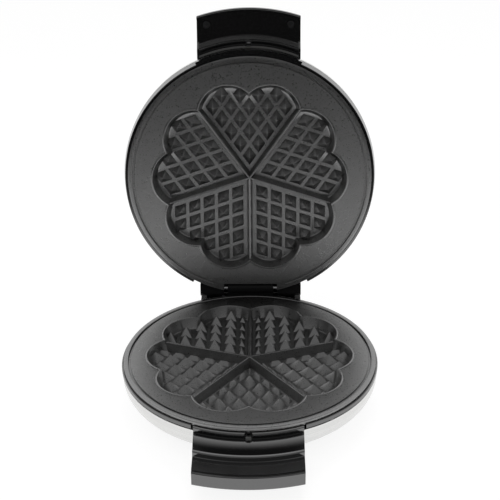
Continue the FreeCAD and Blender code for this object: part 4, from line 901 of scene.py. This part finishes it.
class WAFFLE_OT_baking_plates(bpy.types.Operator):
    """Models the two coated baking plates with their hearts, studs, ridges, bead and groove"""
    bl_idname = "waffle.baking_plates"
    bl_label = "Baking plates"

    def execute(self, context):
        own = sizes()
        thick = own.rim_thickness
        level = LOWER_PLATE[1].z - own.bead_height
        lower = baking_plate("baking_plate_lower", LOWER_RADIUS, own.lower_groove, True)
        half = own.notch_half
        beyond = UPPER_RADIUS + thick
        cut_box(lower, (-half, own.chord_from, -2 * thick), (half, beyond, thick))
        lower.data.transform(Matrix.Translation((0, 0, level)))
        coating = material("coated_aluminium")
        finish(lower, "base", ["lower_plate"], coating, PLATE_SMOOTH)

        upper = baking_plate("baking_plate_upper", UPPER_RADIUS, own.upper_groove, False)
        cut_box(upper, (-half, own.notch_from, -2 * thick), (half, beyond, thick))
        cut_box(upper, (-own.pad_half, own.pad_from, -own.pad_depth), (own.pad_half, beyond, thick))
        tab = own.tab_half
        cut_box(upper, (-tab, own.notch_from, -2 * thick), (tab, beyond, -own.tab_thickness))
        over = Matrix.Translation((0, 0, level + own.closing_gap)) @ Matrix.Rotation(math.pi, 4, "Y")
        upper.data.transform(over)
        finish(upper, "lid", ["upper_plate"], coating, PLATE_SMOOTH)
        return {"FINISHED"}


# Inner sides of the handles. Points of their outlines lie out and up from a corner, in millimetres
STRIP_TOP = ((0, -0.7), (0, 0), (0.3, 0.1))
STRIP_EDGE = ((0.1, -0.3), (0.6, -0.8), (0.6, -3), (0, -3.4))
RIDGE_CREST = ((0.4, 0.5), (0.8, 0.65), (2.1, 0.42))
RIDGE_EDGE = ((-0.3, 0.1), (0, -0.4))
SHELF_CORNER = ((0.3, 0.4), (0.8, 0))
PANEL_EDGE = ((-1.4, 0.5), (0, 0))
LEDGE_LIP = ((-0.3, -0.42), (0, -0.2))
NUB_CAP = ((0, -1.4), (1.2, -1.2), (2.1, -0.7))

# Smaller sizes of the upper handle
LEDGE_DROP = 0.9 * MM
NOSE_DROP = 1.1 * MM
NOSE_REACH = 0.9 * MM
PANEL_THICKNESS = 2 * MM
SHELF_RISE = MM
NUB_SINK = 0.3 * MM
NUB_ROOT = MM
WELL_DEPTH = 4 * MM

# How far a cutter stands out of what it cuts, and how much wider a handle is turned than it is left
SPARE = MM
SPARE_SWEEP = 1.1


def near(out, up, points):
    """Points of an outline beside a corner."""
    return [(out + across * MM, up + rise * MM) for across, rise in points]


def rod(name, centre, radius, low, high):
    """An upright round rod, used as a cutter."""
    deselect()
    bpy.ops.mesh.primitive_cylinder_add(vertices=ROUND_STEPS, radius=radius, depth=high - low)
    piece = named(name)
    edit(piece)
    bpy.ops.transform.translate(value=Vector(centre) + Vector((0, 0, (low + high) / 2)))
    leave()
    return piece


def handle_sector(name, profile, half):
    """A profile turned across the front of the plates and cut to a width."""
    inner = min(radius for radius, height in profile)
    outer = max(radius for radius, height in profile)
    low = min(height for radius, height in profile)
    high = max(height for radius, height in profile)
    piece = lathe(name, profile, HANDLE_STEPS, sweep=2 * SPARE_SWEEP * math.asin(half / inner))
    combine(piece, block("width", (-half, -2 * outer, low - SPARE), (half, 0, high + SPARE)), "INTERSECT")
    return piece


class WAFFLE_OT_lower_handle_liner(bpy.types.Operator):
    """Models the top side of the lower handle: rim strip, bowed ramp, ridge, shelf and notch"""
    bl_idname = "waffle.lower_handle_liner"
    bl_label = "Lower handle, top side"

    def execute(self, context):
        own = context.scene.waffle_handles
        ramp = [(own.ramp_start, own.ramp_height)]
        run = (own.ridge - own.ramp_start) / RAMP_STEPS
        for number in range(RAMP_STEPS):
            slope = own.ramp_gentle + (own.ramp_steep - own.ramp_gentle) * (number + 0.5) / RAMP_STEPS
            ramp.append((ramp[-1][0] + run, ramp[-1][1] - run * math.tan(slope)))
        foot = ramp[-1][1]
        fall = (own.shelf_end - own.shelf_start) * math.tan(own.shelf_slope)
        end_height = own.shelf_height - fall
        top = own.rim_height
        profile = near(own.rim_inner, top, STRIP_TOP)
        profile += near(own.ramp_start, top, STRIP_EDGE)
        profile += ramp
        profile += near(own.ridge, foot, RIDGE_CREST)
        profile += near(own.shelf_start, foot, RIDGE_EDGE)
        profile += near(own.shelf_start, own.shelf_height, SHELF_CORNER)
        profile += [
            (own.shelf_end, end_height),
            (own.shelf_end, end_height - own.skin),
            (own.shelf_start, own.shelf_height - own.skin),
            (own.ridge, foot - own.skin),
            (own.ramp_start - own.skin, own.ramp_height - own.skin),
            (own.rim_inner, own.ramp_height),
        ]
        liner = handle_sector("lower_handle_top", profile, own.lower_half)
        bottom = own.ramp_height - own.skin / 2
        notch = rod("notch", (0, -own.notch_place, 0), own.notch, bottom, top + SPARE)
        combine(liner, notch, "DIFFERENCE")
        black = material("black_plastic")
        finish(liner, "base", ["lower_handle_liner"], black, HANDLE_SMOOTH)
        return {"FINISHED"}


class WAFFLE_OT_upper_handle_liner(bpy.types.Operator):
    """Models the underside of the upper handle: edge, panel, nub, ledge, shelf and screw wells"""
    bl_idname = "waffle.upper_handle_liner"
    bl_label = "Upper handle, underside"

    def execute(self, context):
        own = context.scene.waffle_handles
        panel, shelf = own.panel_height, own.upper_height
        ledge = panel - LEDGE_DROP
        nose = ledge - NOSE_DROP
        profile = near(own.panel_start, panel, PANEL_EDGE)
        profile += [(own.ledge, ledge), (own.ledge + NOSE_REACH, nose)]
        profile += near(own.ledge_end, nose, LEDGE_LIP)
        profile += [
            (own.ledge_end, shelf),
            (own.upper_end, shelf + SHELF_RISE),
            (own.upper_end, shelf + SHELF_RISE + own.skin),
            (own.ledge_end + own.skin, shelf + own.skin),
            (own.ledge_end - own.skin, shelf),
            (own.ledge, ledge + own.skin),
            (own.panel_start, panel + PANEL_THICKNESS),
        ]
        liner = handle_sector("upper_handle_underside", profile, own.upper_half)
        cap = near(0, 0, NUB_CAP) + [(own.nub, 0), (own.nub, NUB_ROOT), (0, NUB_ROOT)]
        nub = lathe("nub", cap, ROUND_STEPS)
        nub.data.transform(Matrix.Translation((0, -own.nub_place, panel - NUB_SINK)))
        combine(liner, nub, "UNION")
        for side in (-1, 1):
            centre = (side * own.well_half, -own.well_circle, 0)
            well = rod("well", centre, own.well, shelf - SPARE, shelf + WELL_DEPTH)
            combine(liner, well, "DIFFERENCE")
        black = material("black_plastic")
        finish(liner, "lid", ["upper_handle_liner"], black, HANDLE_SMOOTH)
        return {"FINISHED"}


# Nodes that keep their own shape

NODE_FINISHES = {
    "brushed_steel_base": ["base_shell"],
    "brushed_steel_lid": ["lid_shell"],
    "black_plastic": ["base_bezel", "lid_bezel", "lower_handle_cover", "upper_handle_cover"],
    "hinge_plastic": ["hinge_housing", "lid_hinge_bracket"],
    "matte_black": ["bottom_cover", "hinge_housing_cover", "cord_gland", "control_dial"],
    "pin_steel": ["hinge_pin", "dial_shaft"],
    "fastener_steel": ["bottom_screws", "hinge_cover_screws", "upper_handle_screws", "lower_handle_screws",
                       "lower_plate_screws", "upper_plate_screws"],
    "foot_rubber": ["front_feet", "rear_feet"],
    "heater_steel": ["lower_heater", "upper_heater"],
    "shield_aluminium": ["lower_heat_shield", "upper_heat_shield"],
    "ceramic": ["terminal_block", "thermal_fuse", "thermostat"],
    "red_lens": ["power_lamp"],
    "green_lens": ["ready_lamp"],
    "bush_plastic": ["hinge_bushes"],
}


class WAFFLE_OT_node_finishes(bpy.types.Operator):
    """Gives every solid that keeps its own shape its material"""
    bl_idname = "waffle.node_finishes"
    bl_label = "Finishes of the solids"

    def execute(self, context):
        for finish_name, nodes in NODE_FINISHES.items():
            for node in nodes:
                slots = frame["nodes"][node].data.materials
                slots.clear()
                slots.append(material(finish_name))
        return {"FINISHED"}


class WAFFLE_PT_panel(bpy.types.Panel):
    bl_label = "Waffle maker"
    bl_idname = "WAFFLE_PT_panel"
    bl_space_type = "VIEW_3D"
    bl_region_type = "UI"
    bl_category = "Waffle maker"

    def draw(self, context):
        for group in [getattr(context.scene, name) for name in GROUPS]:
            box = self.layout.box()
            for name in group.__annotations__:
                box.prop(group, name)
        for operator in OPERATORS:
            self.layout.operator(operator.bl_idname)


OPERATORS = (
    WAFFLE_OT_stage,
    WAFFLE_OT_baking_plates,
    WAFFLE_OT_lower_handle_liner,
    WAFFLE_OT_upper_handle_liner,
    WAFFLE_OT_node_finishes,
)
GROUPS = {
    "waffle_plates": PlateSizes,
    "waffle_handles": HandleSizes,
    "waffle_colours": FinishColours,
    "waffle_stage": StageSettings,
}


def register():
    for group in GROUPS.values():
        bpy.utils.register_class(group)
    for name, group in GROUPS.items():
        setattr(bpy.types.Scene, name, PointerProperty(type=group))
    for operator in OPERATORS:
        bpy.utils.register_class(operator)
    bpy.utils.register_class(WAFFLE_PT_panel)


def unregister():
    bpy.utils.unregister_class(WAFFLE_PT_panel)
    for operator in reversed(OPERATORS):
        bpy.utils.unregister_class(operator)
    for name, group in GROUPS.items():
        delattr(bpy.types.Scene, name)
        bpy.utils.unregister_class(group)


def main():
    register()
    bpy.ops.waffle.stage()
    bpy.ops.waffle.baking_plates()
    bpy.ops.waffle.lower_handle_liner()
    bpy.ops.waffle.upper_handle_liner()
    bpy.ops.waffle.node_finishes()


if __name__ == "__main__":
    main()
